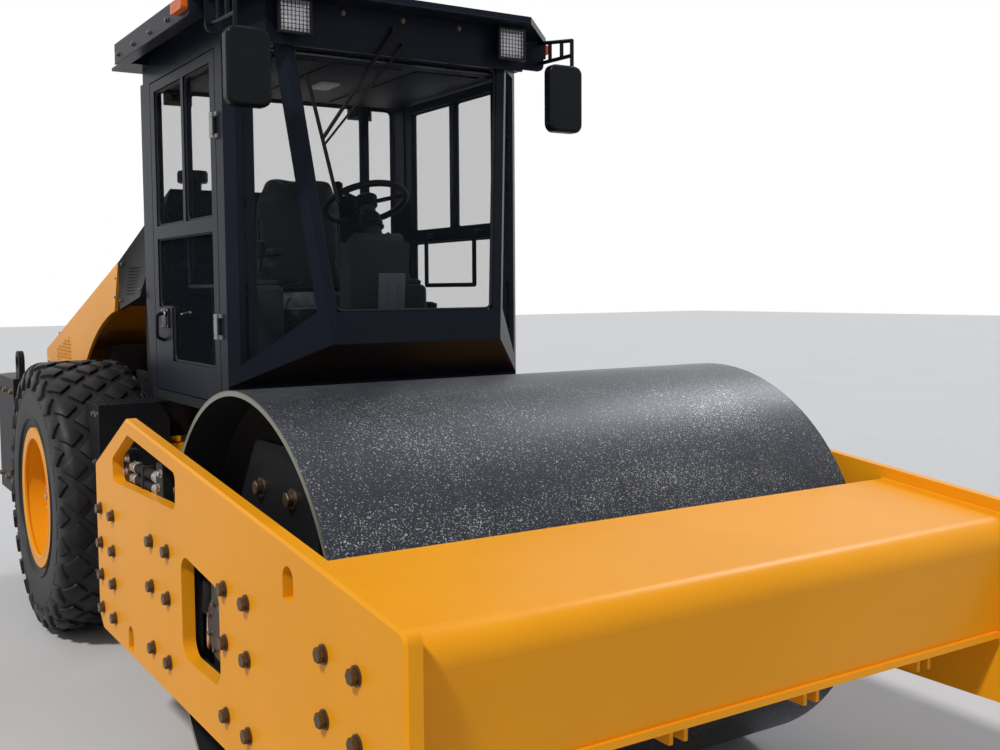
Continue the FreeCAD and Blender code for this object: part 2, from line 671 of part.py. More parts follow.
def front_beam():
    """The folded box beam across the front."""
    inside = "plate_face - plate_thick"
    foot_x = "beam_front_x - beam_rake"
    body = new_body("front_beam")
    outer = [
        ("beam_back_x", beam_top("beam_back_x")),
        ("beam_back_x", beam_top("beam_back_x") + " - beam_wall"),
        ("beam_box_x", beam_top("beam_box_x") + " - beam_wall"),
        ("beam_box_x", "beam_bottom_z"),
        (foot_x, "beam_bottom_z"),
        ("beam_front_x", beam_top("beam_front_x")),
    ]
    pad(body, "XZ", outer, "-(%s)" % inside, inside)
    fillet(body, "XZ", outer[-1:], "beam_round")
    inner = [
        ("beam_box_x + beam_wall", "beam_bottom_z + beam_wall"),
        (foot_x + " - beam_wall", "beam_bottom_z + beam_wall"),
        ("beam_front_x - 1.7 * beam_wall", beam_top("beam_front_x") + " - beam_round"),
        ("beam_front_x - beam_round", beam_top("(beam_front_x - beam_round)") + " - 1.7 * beam_wall"),
        ("beam_box_x + beam_wall", beam_top("(beam_box_x + beam_wall)") + " - beam_wall"),
    ]
    pocket(body, "XZ", inner, "-(%s)" % inside, inside)
    lip = [(foot_x + " - beam_wall", "beam_bottom_z"), (foot_x + " + beam_wall", "beam_bottom_z"),
           (foot_x + " + beam_wall", "beam_bottom_z + beam_lip"),
           (foot_x + " - beam_wall", "beam_bottom_z + beam_lip")]
    pad(body, "XZ", lip, "-(%s) + beam_lip" % inside, inside + " - beam_lip")
    bracket = [("beam_box_x + 60", "beam_bottom_z"), ("beam_box_x + 60", "beam_bottom_z - bracket_drop / 2"),
               (foot_x + " - 90", "beam_bottom_z - bracket_drop"),
               (foot_x + " - 30", "beam_bottom_z - bracket_drop"),
               (foot_x + " - 30", "beam_bottom_z")]
    for middle in SCRAPER_ARMS:
        for side in (-1, 1):
            near = "%s + %d * arm_width / 2" % (middle, side)
            far = "%s + %d * (arm_width / 2 + bracket_thick)" % (middle, side)
            low, high = (near, far) if side > 0 else (far, near)
            pad(body, "XZ", bracket, low, high)
    keep(body, "front_beam")


front_beam()


def rear_crossmember():
    """Box beam between the side plates with the swing bearing at its back."""
    inside = "plate_face - plate_thick"
    body = new_body("rear_crossmember")
    outer = [("cross_rear_x", "cross_low_z"), ("cross_front_x", "cross_low_z"),
             ("cross_front_x", "cross_high_z"), ("cross_rear_x", "cross_high_z")]
    pad(body, "XZ", outer, "-(%s)" % inside, inside)
    pad_circle(body, "YZ", "0", "swing_z", "bearing_radius", "cross_rear_x - bearing_length", "cross_rear_x")
    inner = [("cross_rear_x + cross_wall", "cross_low_z + cross_wall"),
             ("cross_front_x - cross_wall", "cross_low_z + cross_wall"),
             ("cross_front_x - cross_wall", "cross_high_z - cross_wall"),
             ("cross_rear_x + cross_wall", "cross_high_z - cross_wall")]
    for side in (-1, 1):
        low, high = span(side, "bearing_radius + cross_wall", inside)
        pocket(body, "XZ", inner, low, high)
    pocket_circle(body, "YZ", "0", "swing_z", "swing_radius + pin_clearance",
                  "cross_rear_x - bearing_length", "cross_front_x - cross_wall")
    keep(body, "rear_crossmember")


rear_crossmember()

# Drum, turned about its own axis, and what carries it.

half = "drum_width / 2"
web_out = "(drum_width / 2 - drum_recess)"
web_in = "(drum_width / 2 - drum_recess - web_thick)"
shell_in = "drum_radius - drum_wall"


def drum():
    """Shell, dished ends and the exciter tube between them, as one welding."""
    body = new_body("drum_shell")
    place(body, "drum_forward", "0", "drum_radius")
    rows = [("-(%s)" % half, shell_in), ("-(%s)" % half, "drum_radius"),
            (half, "drum_radius"), (half, shell_in)]
    revolve(body, rows)
    bore = "axle_radius + pin_clearance"
    for sign in ("-1 * ", ""):
        rows = [(sign + "(%s + 60)" % web_out, bore), (sign + "(%s + 60)" % web_out, "hub_radius"),
                (sign + web_out, "hub_radius"), (sign + web_out, "drum_radius - drum_wall - web_flare"),
                (sign + "(%s + web_flare)" % web_out, shell_in),
                (sign + "(%s + web_flare - web_thick)" % web_out, shell_in),
                (sign + web_in, "drum_radius - drum_wall - web_flare - web_thick"),
                (sign + web_in, bore)]
        revolve(body, rows)
    rows = [("-1 * " + web_in, "hub_radius - 35"), ("-1 * " + web_in, "hub_radius"),
            (web_in, "hub_radius"), (web_in, "hub_radius - 35")]
    revolve(body, rows)
    keep(body, "drum_shell")


drum()


def drum_mounts():
    """Bracket, buffers and stub axle on each side plate."""
    items = []
    inside = "plate_face - plate_thick"
    arm = "(drum_width / 2 - 135)"
    for name, side in SIDES:
        body = new_body("drum_mount_" + name)
        flange = [("drum_forward - 580", "drum_radius - 255"), ("drum_forward + 480", "drum_radius - 255"),
                  ("drum_forward + 480", "drum_radius + 255"), ("drum_forward - 580", "drum_radius + 255")]
        low, high = span(side, inside + " - 30", inside)
        pad(body, "XZ", flange, low, high)
        window = [("drum_forward - 200", "drum_radius - 150"), ("drum_forward + 200", "drum_radius - 150"),
                  ("drum_forward + 200", "drum_radius + 240"), ("drum_forward - 200", "drum_radius + 240")]
        pocket(body, "XZ", window, low, high)
        for x in ("drum_forward - 330", "drum_forward + 290"):
            post = [(x, "drum_radius - 180"), (x + " + 40", "drum_radius - 180"),
                    (x + " + 40", "drum_radius + 180"), (x, "drum_radius + 180")]
            low, high = span(side, arm, inside + " - 30")
            pad(body, "XZ", post, low, high)
        carrier = [("drum_forward + %d * (carrier_half - %s)" % (sign, inset), "drum_radius + %s" % rise)
                   for sign, inset, rise in (
                       (-1, "carrier_cut", "(-carrier_down)"), (1, "carrier_cut", "(-carrier_down)"),
                       (1, "0", "(carrier_cut - carrier_down)"),
                       (1, "0", "(carrier_up - carrier_cut * 1.4)"),
                       (1, "carrier_cut", "carrier_up"), (-1, "carrier_cut", "carrier_up"),
                       (-1, "0", "(carrier_up - carrier_cut * 1.4)"),
                       (-1, "0", "(carrier_cut - carrier_down)"))]
        low, high = span(side, arm + " - 30", arm)
        pad(body, "XZ", carrier, low, high)
        fillet(body, "XZ", carrier, "2 * plate_round")
        low, high = span(side, web_out + " - web_thick", arm + " - 30")
        pad_circle(body, "XZ", "drum_forward", "drum_radius", "axle_radius", low, high)
        low, high = span(side, inside + " - post_deep", inside)
        for x in ("post_x", "post_x + post_gap"):
            rows = [(x, "post_low_z"), (x + " + post_wide", "post_low_z"),
                    (x + " + post_wide", "post_high_z"), (x, "post_high_z")]
            pad(body, "XZ", rows, low, high)
            fillet(body, "XZ", rows[2:], "plate_round / 2")
        for rise in (1, 2, 3):
            pad_circle(body, "YZ", "%d * (%s - post_deep / 2)" % (side, inside),
                       "post_low_z + %d * hose_pitch + hose_radius" % rise, "hose_radius",
                       "post_x + post_wide / 2", "post_x + post_gap + post_wide / 2")
        items.append(body)
    keep(group(*items), "drum_mounts")


drum_mounts()


def drum_motors():
    """Drive motor on the right and exciter motor on the left."""
    items = []
    arm = "(drum_width / 2 - 135)"
    for side in (-1, 1):
        low, high = span(side, arm, "plate_face - 60")
        length = "(%s) - (%s)" % (high, low)
        motor = bar("Y", "105", length, "drum_forward", low, "drum_radius")
        block = box("drum_forward - 60", "drum_forward + 60", low, high, "drum_radius + 60",
                    "drum_radius + 150")
        items.append(fuse(motor, block))
    keep(group(*items), "drum_motors")


drum_motors()


def scrapers():
    """Blade, carrier bar and brackets under the front beam."""
    blade_x = "drum_forward + drum_radius + 8"
    items = [box(blade_x, blade_x + " + 20", "-(drum_width / 2 - 40)", "drum_width / 2 - 40",
                 "drum_radius - 130", "drum_radius - 10")]
    items.append(box(blade_x + " + 20", blade_x + " + 60", "-(drum_width / 2 - 40)", "drum_width / 2 - 40",
                     "drum_radius - 130", "drum_radius - 95"))
    for middle in SCRAPER_ARMS:
        y_low, y_high = middle + " - (arm_width / 2 - 1)", middle + " + (arm_width / 2 - 1)"
        items.append(box(blade_x + " + 20", "beam_front_x - beam_rake - 60", y_low, y_high,
                         "drum_radius - 130", "beam_bottom_z"))
    keep(fuse(*items), "scrapers")


scrapers()

# Centre joint and steering cylinders.


def center_yoke():
    """Upright barrel on the steering pins, the swing shaft and the steering lugs."""
    body = new_body("center_yoke")
    pad_circle(body, "XY", "0", "0", "yoke_radius", "yoke_low_z", "yoke_high_z")
    pad_circle(body, "XY", "0", "0", "pin_radius", "yoke_low_z - ear_gap - ear_thick",
               "yoke_high_z + ear_gap + ear_thick")
    pad_circle(body, "YZ", "0", "swing_z", "bearing_radius", "0", "cross_rear_x - bearing_length - ear_gap")
    pad_circle(body, "YZ", "0", "swing_z", "swing_radius", "0", "cross_front_x - 2 * cross_wall")
    for sign in (-1, 1):
        for z_low, z_high in (("steer_z - eye_thick / 2 - 30", "steer_z - eye_thick / 2 - 5"),
                              ("steer_z + eye_thick / 2 + 5", "steer_z + eye_thick / 2 + 30")):
            rows = [("steer_lug_x - 45", "0"), ("steer_lug_x + 45", "0"),
                    ("steer_lug_x + 45", "%d * (steer_lug_y + 45)" % sign),
                    ("steer_lug_x - 45", "%d * (steer_lug_y + 45)" % sign)]
            pad(body, "XY", rows, z_low, z_high)
            fillet(body, "XY", rows[2:], "40")
    keep(body, "center_yoke")


center_yoke()


def steering_cylinder(name, side):
    """Barrel on the chassis and rod towards the yoke, drawn along their own line."""
    anchor = vector("steer_anchor_x", "%d * steer_anchor_y" % side, "steer_z")
    lug = vector("steer_lug_x", "%d * steer_lug_y" % side, "steer_z")
    line = (lug - anchor)
    length = line.Length
    line.normalize()
    up = FreeCAD.Vector(0, 0, 1)
    eye = value("eye_radius")
    thick = value("eye_thick")
    barrel_end = anchor + line * (length * 0.62)
    lower = up * (-thick / 2)
    barrel = Part.makeCylinder(eye, thick, anchor + lower, up)
    barrel = barrel.fuse(rod(anchor + line * (eye * 0.8), anchor + line * (eye * 2), value("rod_radius")))
    barrel = barrel.fuse(rod(anchor + line * (eye * 2), barrel_end, value("barrel_radius")))
    hollow = rod(anchor + line * (eye * 2.5), barrel_end + line * 5, value("rod_radius + pin_clearance"))
    pin_hole = Part.makeCylinder(value("25 + pin_clearance"), thick, anchor + lower, up)
    barrel = barrel.cut(hollow).cut(pin_hole)
    keep(solid(barrel, "steer_barrel_" + name), "steer_barrel_" + name)
    rod_shape = rod(anchor + line * (length * 0.37), lug, value("rod_radius"))
    rod_shape = rod_shape.fuse(Part.makeCylinder(eye, thick, lug + lower, up))
    keep(solid(rod_shape, "steer_rod_" + name), "steer_rod_" + name)


for name, side in SIDES:
    steering_cylinder(name, side)

# Rear frame.


def rear_chassis():
    """Head with the ears of the steering pin, two rails and the cab towers."""
    items = []
    for z_low, z_high in (("yoke_low_z - ear_gap - ear_thick", "yoke_low_z - ear_gap"),
                          ("yoke_high_z + ear_gap", "yoke_high_z + ear_gap + ear_thick")):
        ear = fuse(box("head_front_x", "0", "-ear_half_width", "ear_half_width", z_low, z_high),
                   bar("Z", "ear_half_width", "ear_thick", "0", "0", z_low))
        items.append(cut(ear, bar("Z", "pin_radius + pin_clearance", "ear_thick", "0", "0", z_low)))
    for z_low, z_high in (("yoke_low_z - ear_gap - ear_thick", "yoke_low_z - ear_gap"),
                          ("yoke_high_z + ear_gap", "rail_high_z")):
        items.append(box("head_rear_x - 120", "head_front_x", "-rail_outer", "rail_outer", z_low, z_high))
    for side in (-1, 1):
        low, high = span(side, "rail_outer - tower_wall", "rail_outer")
        items.append(box("head_rear_x - 120", "head_front_x", low, high,
                         "yoke_low_z - ear_gap - ear_thick", "tower_high_z"))
        low, high = span(side, "rail_inner", "rail_outer")
        items.append(box("rail_rear_x", "head_rear_x", low, high, "rail_low_z", "rail_high_z"))
        anchor_y = "%d * steer_anchor_y" % side
        items.append(bar("Z", "25", "eye_thick + 80", "steer_anchor_x", anchor_y,
                         "steer_z - eye_thick / 2 - 40"))
        for z_low, z_high in (("steer_z - eye_thick / 2 - 40", "steer_z - eye_thick / 2 - 5"),
                              ("steer_z + eye_thick / 2 + 5", "steer_z + eye_thick / 2 + 40")):
            low, high = span(side, "steer_anchor_y - 45", "rail_outer")
            items.append(box("steer_anchor_x - 45", "steer_anchor_x + 45", low, high, z_low, z_high))
        low, high = span(side, "rail_outer", "step_inner")
        items.append(box("step_front_x - 90", "step_front_x - 30", low, high, "step_low_z + 60",
                         "step_low_z + 120"))
    items.append(box("rail_rear_x", "rail_rear_x + 60", "-rail_inner", "rail_inner", "rail_low_z",
                     "rail_high_z"))
    keep(fuse(*items), "rear_chassis")


rear_chassis()


def rear_axle():
    """Axle housing with its differential, spring pads and planetary hubs."""
    body = new_body("rear_axle")
    place(body, "-axle_back", "0", "tyre_radius")
    inner = "(wheel_center - tyre_width / 2 - 40)"
    rows = [("-" + inner, "0"), ("-" + inner, "planet_radius + 20"),
            ("-(%s - 40)" % inner, "planet_radius + 20"),
            ("-(%s - 40)" % inner, "axle_tube"), ("-diff_radius", "axle_tube"),
            ("-diff_radius / 2", "diff_radius"),
            ("diff_radius / 2", "diff_radius"), ("diff_radius", "axle_tube"), (inner + " - 40", "axle_tube"),
            (inner + " - 40", "planet_radius + 20"), (inner, "planet_radius + 20"), (inner, "0")]
    revolve(body, rows)
    for sign in (-1, 1):
        low, high = span(sign, "rail_inner + 5", "rail_outer - 5")
        rows = [("-90", "0"), ("90", "0"), ("90", "rail_low_z - tyre_radius"),
                ("-90", "rail_low_z - tyre_radius")]
        pad(body, "XZ", rows, low, high)
    keep(body, "rear_axle")


rear_axle()

block = box("engine_front_x - engine_length", "engine_front_x", "-engine_half", "engine_half",
            "rail_high_z", "engine_high_z - 0.284 * engine_length")
keep(block, "engine_block")

core = box("radiator_front_x - radiator_depth", "radiator_front_x", "-rail_outer", "rail_outer",
           "counter_high_z", "radiator_high_z")
keep(core, "radiator")


def counterweight():
    """Rear box, open towards the wheels, with two lifting eyes and a tow jaw."""
    body = new_body("counterweight")
    plan = [("counter_rear_x", "-(counter_half - 90)"), ("counter_rear_x + 90", "-counter_half"),
            ("counter_front_x", "-counter_half"), ("counter_front_x", "counter_half"),
            ("counter_rear_x + 90", "counter_half"), ("counter_rear_x", "counter_half - 90")]
    pad(body, "XY", plan, "counter_low_z", "counter_high_z")
    hollow = [("counter_rear_x + 2.5 * counter_wall", "-(counter_half - counter_wall)"),
              ("counter_front_x", "-(counter_half - counter_wall)"),
              ("counter_front_x", "counter_half - counter_wall"),
              ("counter_rear_x + 2.5 * counter_wall", "counter_half - counter_wall")]
    pocket(body, "XY", hollow, "counter_low_z + counter_wall", "counter_high_z - counter_wall")
    for sign in (-1, 1):
        low, high = span(sign, "counter_half - 85", "counter_half - 50")
        rows = [("counter_front_x - 190", "counter_high_z - 1"),
                ("counter_front_x - 70", "counter_high_z - 1"),
                ("counter_front_x - 70", "counter_high_z + eye_height"),
                ("counter_front_x - 190", "counter_high_z + eye_height")]
        pad(body, "XZ", rows, low, high)
        fillet(body, "XZ", rows[2:], "eye_hole + 20")
        pocket_circle(body, "XZ", "counter_front_x - 130", "counter_high_z + eye_height - 70", "eye_hole",
                      low, high)
    for sign in (-1, 1):
        rows = [("%d * (tail_side - tail_width / 2)" % sign, "tail_z - tail_height / 2"),
                ("%d * (tail_side + tail_width / 2)" % sign, "tail_z - tail_height / 2"),
                ("%d * (tail_side + tail_width / 2)" % sign, "tail_z + tail_height / 2"),
                ("%d * (tail_side - tail_width / 2)" % sign, "tail_z + tail_height / 2")]
        pocket(body, "YZ", rows, "counter_rear_x", "counter_rear_x + tail_depth")
    jaw = [("-jaw_half", "jaw_z - jaw_gap / 2"), ("jaw_half", "jaw_z - jaw_gap / 2"),
           ("jaw_half", "jaw_z + jaw_gap / 2"), ("-jaw_half", "jaw_z + jaw_gap / 2")]
    pocket(body, "YZ", jaw, "counter_rear_x", "counter_rear_x + jaw_deep")
    pad_circle(body, "XY", "counter_rear_x + jaw_deep / 2", "0", "jaw_pin", "jaw_z - jaw_gap / 2",
               "jaw_z + jaw_gap / 2")
    keep(body, "counterweight")


counterweight()


def step_boxes():
    """Tread boxes ahead of the tyres, cut back to clear them."""
    items = []
    for name, side in SIDES:
        body = new_body("step_box_" + name)
        low, high = span(side, "step_inner", "step_outer")
        rows = [("step_front_x", "step_low_z"), ("step_front_x", "step_high_z"),
                ("step_front_x - 270", "step_high_z"), ("step_front_x - 270", "step_high_z - 30"),
                ("step_front_x - 90", "step_low_z")]
        pad(body, "XZ", rows, low, high)
        items.append(body)
    keep(group(*items), "step_boxes")


step_boxes()


def side_tanks():
    """Tanks on the rails under the cowl."""
    items = []
    for side in (-1, 1):
        low, high = span(side, "tank_inner", "tank_outer")
        tank = box("cowl_rear_x", "head_rear_x - 140", low, high, "rail_high_z + 20", "cowl_low_z - 60")
        low, high = span(side, "rail_inner", "tank_outer")
        foot = box("cowl_rear_x", "head_rear_x - 140", low, high, "rail_high_z", "rail_high_z + 20")
        items.append(fuse(tank, foot))
    keep(group(*items), "side_tanks")


side_tanks()


def cowl_section(x, top_z, top_half, low_z, low_half, inset):
    """Corner points of the cowl at x, drawn in by an inset."""
    return [FreeCAD.Vector(x, -low_half + inset, low_z), FreeCAD.Vector(x, low_half - inset, low_z),
            FreeCAD.Vector(x, top_half - inset, top_z - inset), FreeCAD.Vector(x, -top_half + inset,
                                                                               top_z - inset)]


HOOD_KNUCKLE = 14
HOOD_PIN = 7


def hood_axis(y):
    """Point on the hood's hinge line."""
    return vector("(cowl_rear_x + hood_front_x) / 2", y, "hood_front_z + 22")


def hood_pin():
    """Left hinge pin of the hood with its two cheeks on the cowl."""
    along = FreeCAD.Vector(0, 1, 0)
    shape = Part.makeCylinder(HOOD_PIN, 100, hood_axis("hood_hinge_y - 50"), along)
    for offset in ("- 50", "+ 38"):
        foot = hood_axis("hood_hinge_y " + offset)
        shape = shape.fuse(Part.makeCylinder(HOOD_KNUCKLE, 12, foot, along))
        shape = shape.fuse(Part.makeBox(45, 12, 40, foot + FreeCAD.Vector(6, 0, -30)))
    return shape


def front_cowl():
    """Black cowl between cab and hood: wide and low at the rear, narrow and high at the front."""
    wall = value("cowl_wall")
    front = (value("cowl_front_x"), value("cowl_high_z"), value("cowl_high_half"), value("cowl_low_z"))
    rear = (value("cowl_rear_x"), value("hood_front_z"), value("hood_half"), value("hood_front_low_z + 10"))
    wide = value("hood_half")
    outer = loft(cowl_section(*front, wide, 0), cowl_section(*rear, wide, 0))
    shape = outer
    inner_front = (front[0] - wall, front[1], front[2], front[3] - 1)
    inner_rear = (rear[0], rear[1], rear[2], rear[3] - 1)
    inner = loft(cowl_section(*inner_front, wide, wall), cowl_section(*inner_rear, wide, wall))
    shape = shape.cut(inner)
    for side in (-1, 1):
        shape = shape.fuse(mirror_y(hood_pin(), side).cut(inner))
    tank_shelf = Part.makeBox(value("cowl_front_x - cowl_rear_x") - wall, 2 * value("tank_outer"), 30,
                              vector("cowl_rear_x", "-tank_outer", "cowl_low_z - 60"))
    shape = shape.fuse(tank_shelf.common(outer))
    keep(solid(shape, "front_cowl"), "front_cowl")
    return solid(outer, "cowl_form")


cowl_form = front_cowl()

cap_x = "cowl_front_x - 60"
stem = bar("Z", "45", "130", cap_x, "-440", "cowl_high_z - 85")
cap = bar("Z", "75", "60", cap_x, "-440", "cowl_high_z + 40")
keep(cut(fuse(stem, cap), cowl_form), "air_precleaner")

# Cab.


def nose_section(z, inset):
    """Corner points of the cab's nose at a height, drawn in by an inset."""
    low_z = value("nose_low_z")
    share = (z - low_z) / (value("cab_high_z") - low_z)
    front_x = value("nose_low_x") + share * value("nose_high_x - nose_low_x") - inset
    half = value("nose_low_half") + share * value("nose_high_half - nose_low_half") - inset * 0.4
    side = value("cab_half") - inset
    back = value("cab_pillar_x") - inset
    return [FreeCAD.Vector(back, -side, z), FreeCAD.Vector(front_x, -half, z),
            FreeCAD.Vector(front_x, half, z), FreeCAD.Vector(back, side, z)]


def nose(inset):
    """The tapering nose of the cab, with its sloping belly, drawn in by an inset."""
    bottom = value("belly_rear_z")
    shape = loft(nose_section(bottom - 40, inset), nose_section(value("cab_high_z"), inset))
    x_low, z_low = value("cab_pillar_x"), value("belly_rear_z") + inset
    x_high, z_high = value("nose_low_x"), value("nose_low_z") + inset
    slope = (z_high - z_low) / (x_high - x_low)
    near, far = x_low - 100, x_high + 100
    wide = value("cab_half") + 10
    wedge = Part.makePolygon([
        FreeCAD.Vector(near, -wide, z_low - 100 * slope), FreeCAD.Vector(far, -wide, z_high + 100 * slope),
        FreeCAD.Vector(far, -wide, bottom - 300), FreeCAD.Vector(near, -wide, bottom - 300),
        FreeCAD.Vector(near, -wide, z_low - 100 * slope)])
    return shape.cut(Part.Face(wedge).extrude(FreeCAD.Vector(0, 2 * wide, 0)))


def shell_between(outer_inset, inner_inset):
    """The layer of the nose between two insets."""
    return nose(outer_inset).cut(nose(inner_inset))


def front_cutter():
    """Prism along X through the windshield opening."""
    post = value("post_width")
    rows = []
    for z in (value("windshield_low_z"), value("windshield_high_z")):
        section = nose_section(z, 0)
        rows.append((section[2].y - post, z))
    points = [FreeCAD.Vector(0, -rows[0][0], rows[0][1]), FreeCAD.Vector(0, rows[0][0], rows[0][1]),
              FreeCAD.Vector(0, rows[1][0], rows[1][1]), FreeCAD.Vector(0, -rows[1][0], rows[1][1])]
    face = Part.Face(Part.makePolygon(points + [points[0]]))
    start = value("nose_high_x - 2.5 * cab_wall")
    face.translate(FreeCAD.Vector(start, 0, 0))
    return face.extrude(FreeCAD.Vector(value("nose_low_x + cab_wall") - start, 0, 0))


def quarter_cutter(side):
    """Prism through the quarter pane opening, from the belly's slope to the header."""
    post = value("post_width")
    low_z, high_z = value("windshield_low_z"), value("windshield_high_z")
    foot = nose_section(low_z, 0)[2]
    head = nose_section(high_z, 0)[2]
    back = value("cab_pillar_x") + post
    rise = value("belly_rear_z") + 90
    points = [FreeCAD.Vector(back, 0, rise), FreeCAD.Vector(foot.x - post * 0.8, 0, low_z),
              FreeCAD.Vector(head.x - post * 0.8, 0, high_z), FreeCAD.Vector(back, 0, high_z)]
    face = Part.Face(Part.makePolygon(points + [points[0]]))
    start = value("nose_low_half - 3 * cab_wall")
    face.translate(FreeCAD.Vector(0, side * start, 0))
    return face.extrude(FreeCAD.Vector(0, side * (value("cab_half + cab_wall") - start), 0))


def wall_panel(x_low, x_high, y_low, y_high, z_low, z_high):
    """A plain box shape between expressions."""
    low = vector(x_low, y_low, z_low)
    high = vector(x_high, y_high, z_high)
    size = high - low
    return Part.makeBox(size.x, size.y, size.z, low)


REAR_HEIGHTS = ("door_waist_z - 160", "door_high_z")
# Low and high Y of the three rear panes.
REAR_PANES = [
    ("-(cab_half - 1.1 * cab_wall)", "-(rear_bar_side + door_bar / 2)"),
    ("-(rear_bar_side - door_bar / 2)", "rear_bar_side - door_bar / 2"),
    ("rear_bar_side + door_bar / 2", "cab_half - 1.1 * cab_wall"),
]


def door_hinge(z):
    """Pin and the two outer knuckles of a left door hinge, on leaves that reach the door pillar."""
    axis = vector("door_front_x", "cab_half + hinge_out", z)
    gap = 2
    knuckle = 16
    length = value("hinge_length")
    up = FreeCAD.Vector(0, 0, 1)
    shape = Part.makeCylinder(value("hinge_pin"), length + 2 * gap + 2 * knuckle,
                              axis - up * (gap + knuckle), up)
    for low in (-gap - knuckle, length + gap):
        foot = axis + up * low
        shape = shape.fuse(Part.makeCylinder(value("hinge_radius"), knuckle, foot, up))
        leaf = Part.makeBox(40, value("hinge_out") - 5, knuckle,
                            foot + FreeCAD.Vector(4, -value("hinge_out"), 0))
        shape = shape.fuse(leaf)
    return shape


def cab_block(inset, reach):
    """The cab's side view, bent at its rear and drawn in by an inset, as a block across the cab."""
    foot = value("cab_low_z + floor_thick") - reach
    head = value("cab_high_z") + reach
    half_width = value("cab_half") - inset
    lean = value("(cab_foot_x - cab_rear_x) / (cab_bend_z - cab_low_z)")
    foot_x = value("cab_rear_x") + inset + lean * (value("cab_bend_z") - foot)
    rows = [(foot_x, foot), (value("cab_pillar_x") + reach, foot), (value("cab_pillar_x") + reach, head),
            (value("cab_rear_x") + inset, head), (value("cab_rear_x") + inset, value("cab_bend_z"))]
    points = [FreeCAD.Vector(x, -half_width, z) for x, z in rows]
    face = Part.Face(Part.makePolygon(points + [points[0]]))
    return face.extrude(FreeCAD.Vector(0, 2 * half_width, 0))


def cab_frame():
    """Walls, pillars, nose frame and headers of the cab, as one welding."""
    walls = cab_block(0, 0)
    room = cab_block(value("cab_wall"), 1)
    doorway = wall_panel("door_rear_x - door_gap", "door_front_x + door_gap", "-(cab_half + 10)",
                         "cab_half + 10",
                         "door_low_z - door_gap", "door_high_z + door_gap")
    shape = walls.cut(room).cut(doorway)
    for y_low, y_high in REAR_PANES:
        shape = shape.cut(wall_panel("cab_rear_x - 10", "cab_rear_x + cab_wall + 10", y_low, y_high,
                                     *REAR_HEIGHTS))
    header = wall_panel("cab_rear_x", "cab_pillar_x", "-cab_half", "cab_half", "cab_high_z - 14",
                        "cab_high_z")
    nose_shell = shell_between(0, value("cab_wall"))
    nose_shell = nose_shell.cut(wall_panel("cab_rear_x", "cab_pillar_x", "-cab_half", "cab_half",
                                           "cab_low_z", "cab_high_z"))
    nose_shell = nose_shell.cut(front_cutter())
    for side in (-1, 1):
        nose_shell = nose_shell.cut(quarter_cutter(side))
    toe = wall_panel("cab_pillar_x - cab_wall", "cab_pillar_x", "-cab_half", "cab_half",
                     "cab_low_z + floor_thick", "belly_rear_z + cab_wall")
    shape = shape.fuse(header).fuse(nose_shell).fuse(toe)
    for side in (-1, 1):
        for z in ("hinge_low_z", "hinge_high_z"):
            shape = shape.fuse(mirror_y(door_hinge(z), side))
    shape = shape.removeSplitter()
    keep(solid(shape, "cab_frame"), "cab_frame")


cab_frame()


def cab_panes():
    """Panes that fill the openings of the cab frame inside its thickness."""
    inset = value("glass_inset")
    layer = shell_between(inset, inset + value("glass_thick"))
    keep(solid(layer.common(front_cutter()), "windshield"), "windshield")
    quarters = [solid(layer.common(quarter_cutter(side)), "quarter_pane") for side in (-1, 1)]
    keep(group(*quarters), "quarter_glass")
    panes = []
    for y_low, y_high in REAR_PANES:
        panes.append(box("cab_rear_x + glass_inset", "cab_rear_x + glass_inset + glass_thick", y_low, y_high,
                         *REAR_HEIGHTS))
    keep(group(*panes), "rear_glass")


cab_panes()


def cab_floor():
    """Floor plate with its front apron, cab feet on the towers."""
    plate = box("cab_foot_x", "cab_pillar_x", "-cab_half", "cab_half", "cab_low_z",
                "cab_low_z + floor_thick")
    items = [plate]
    for side in (-1, 1):
        for x in ("head_rear_x - 60", "head_front_x - 70"):
            y = "%d * (rail_outer - tower_wall / 2)" % side
            items.append(bar("Z", "tower_wall + 15", "cab_low_z - tower_high_z", x, y, "tower_high_z"))
    keep(fuse(*items), "cab_floor")


cab_floor()


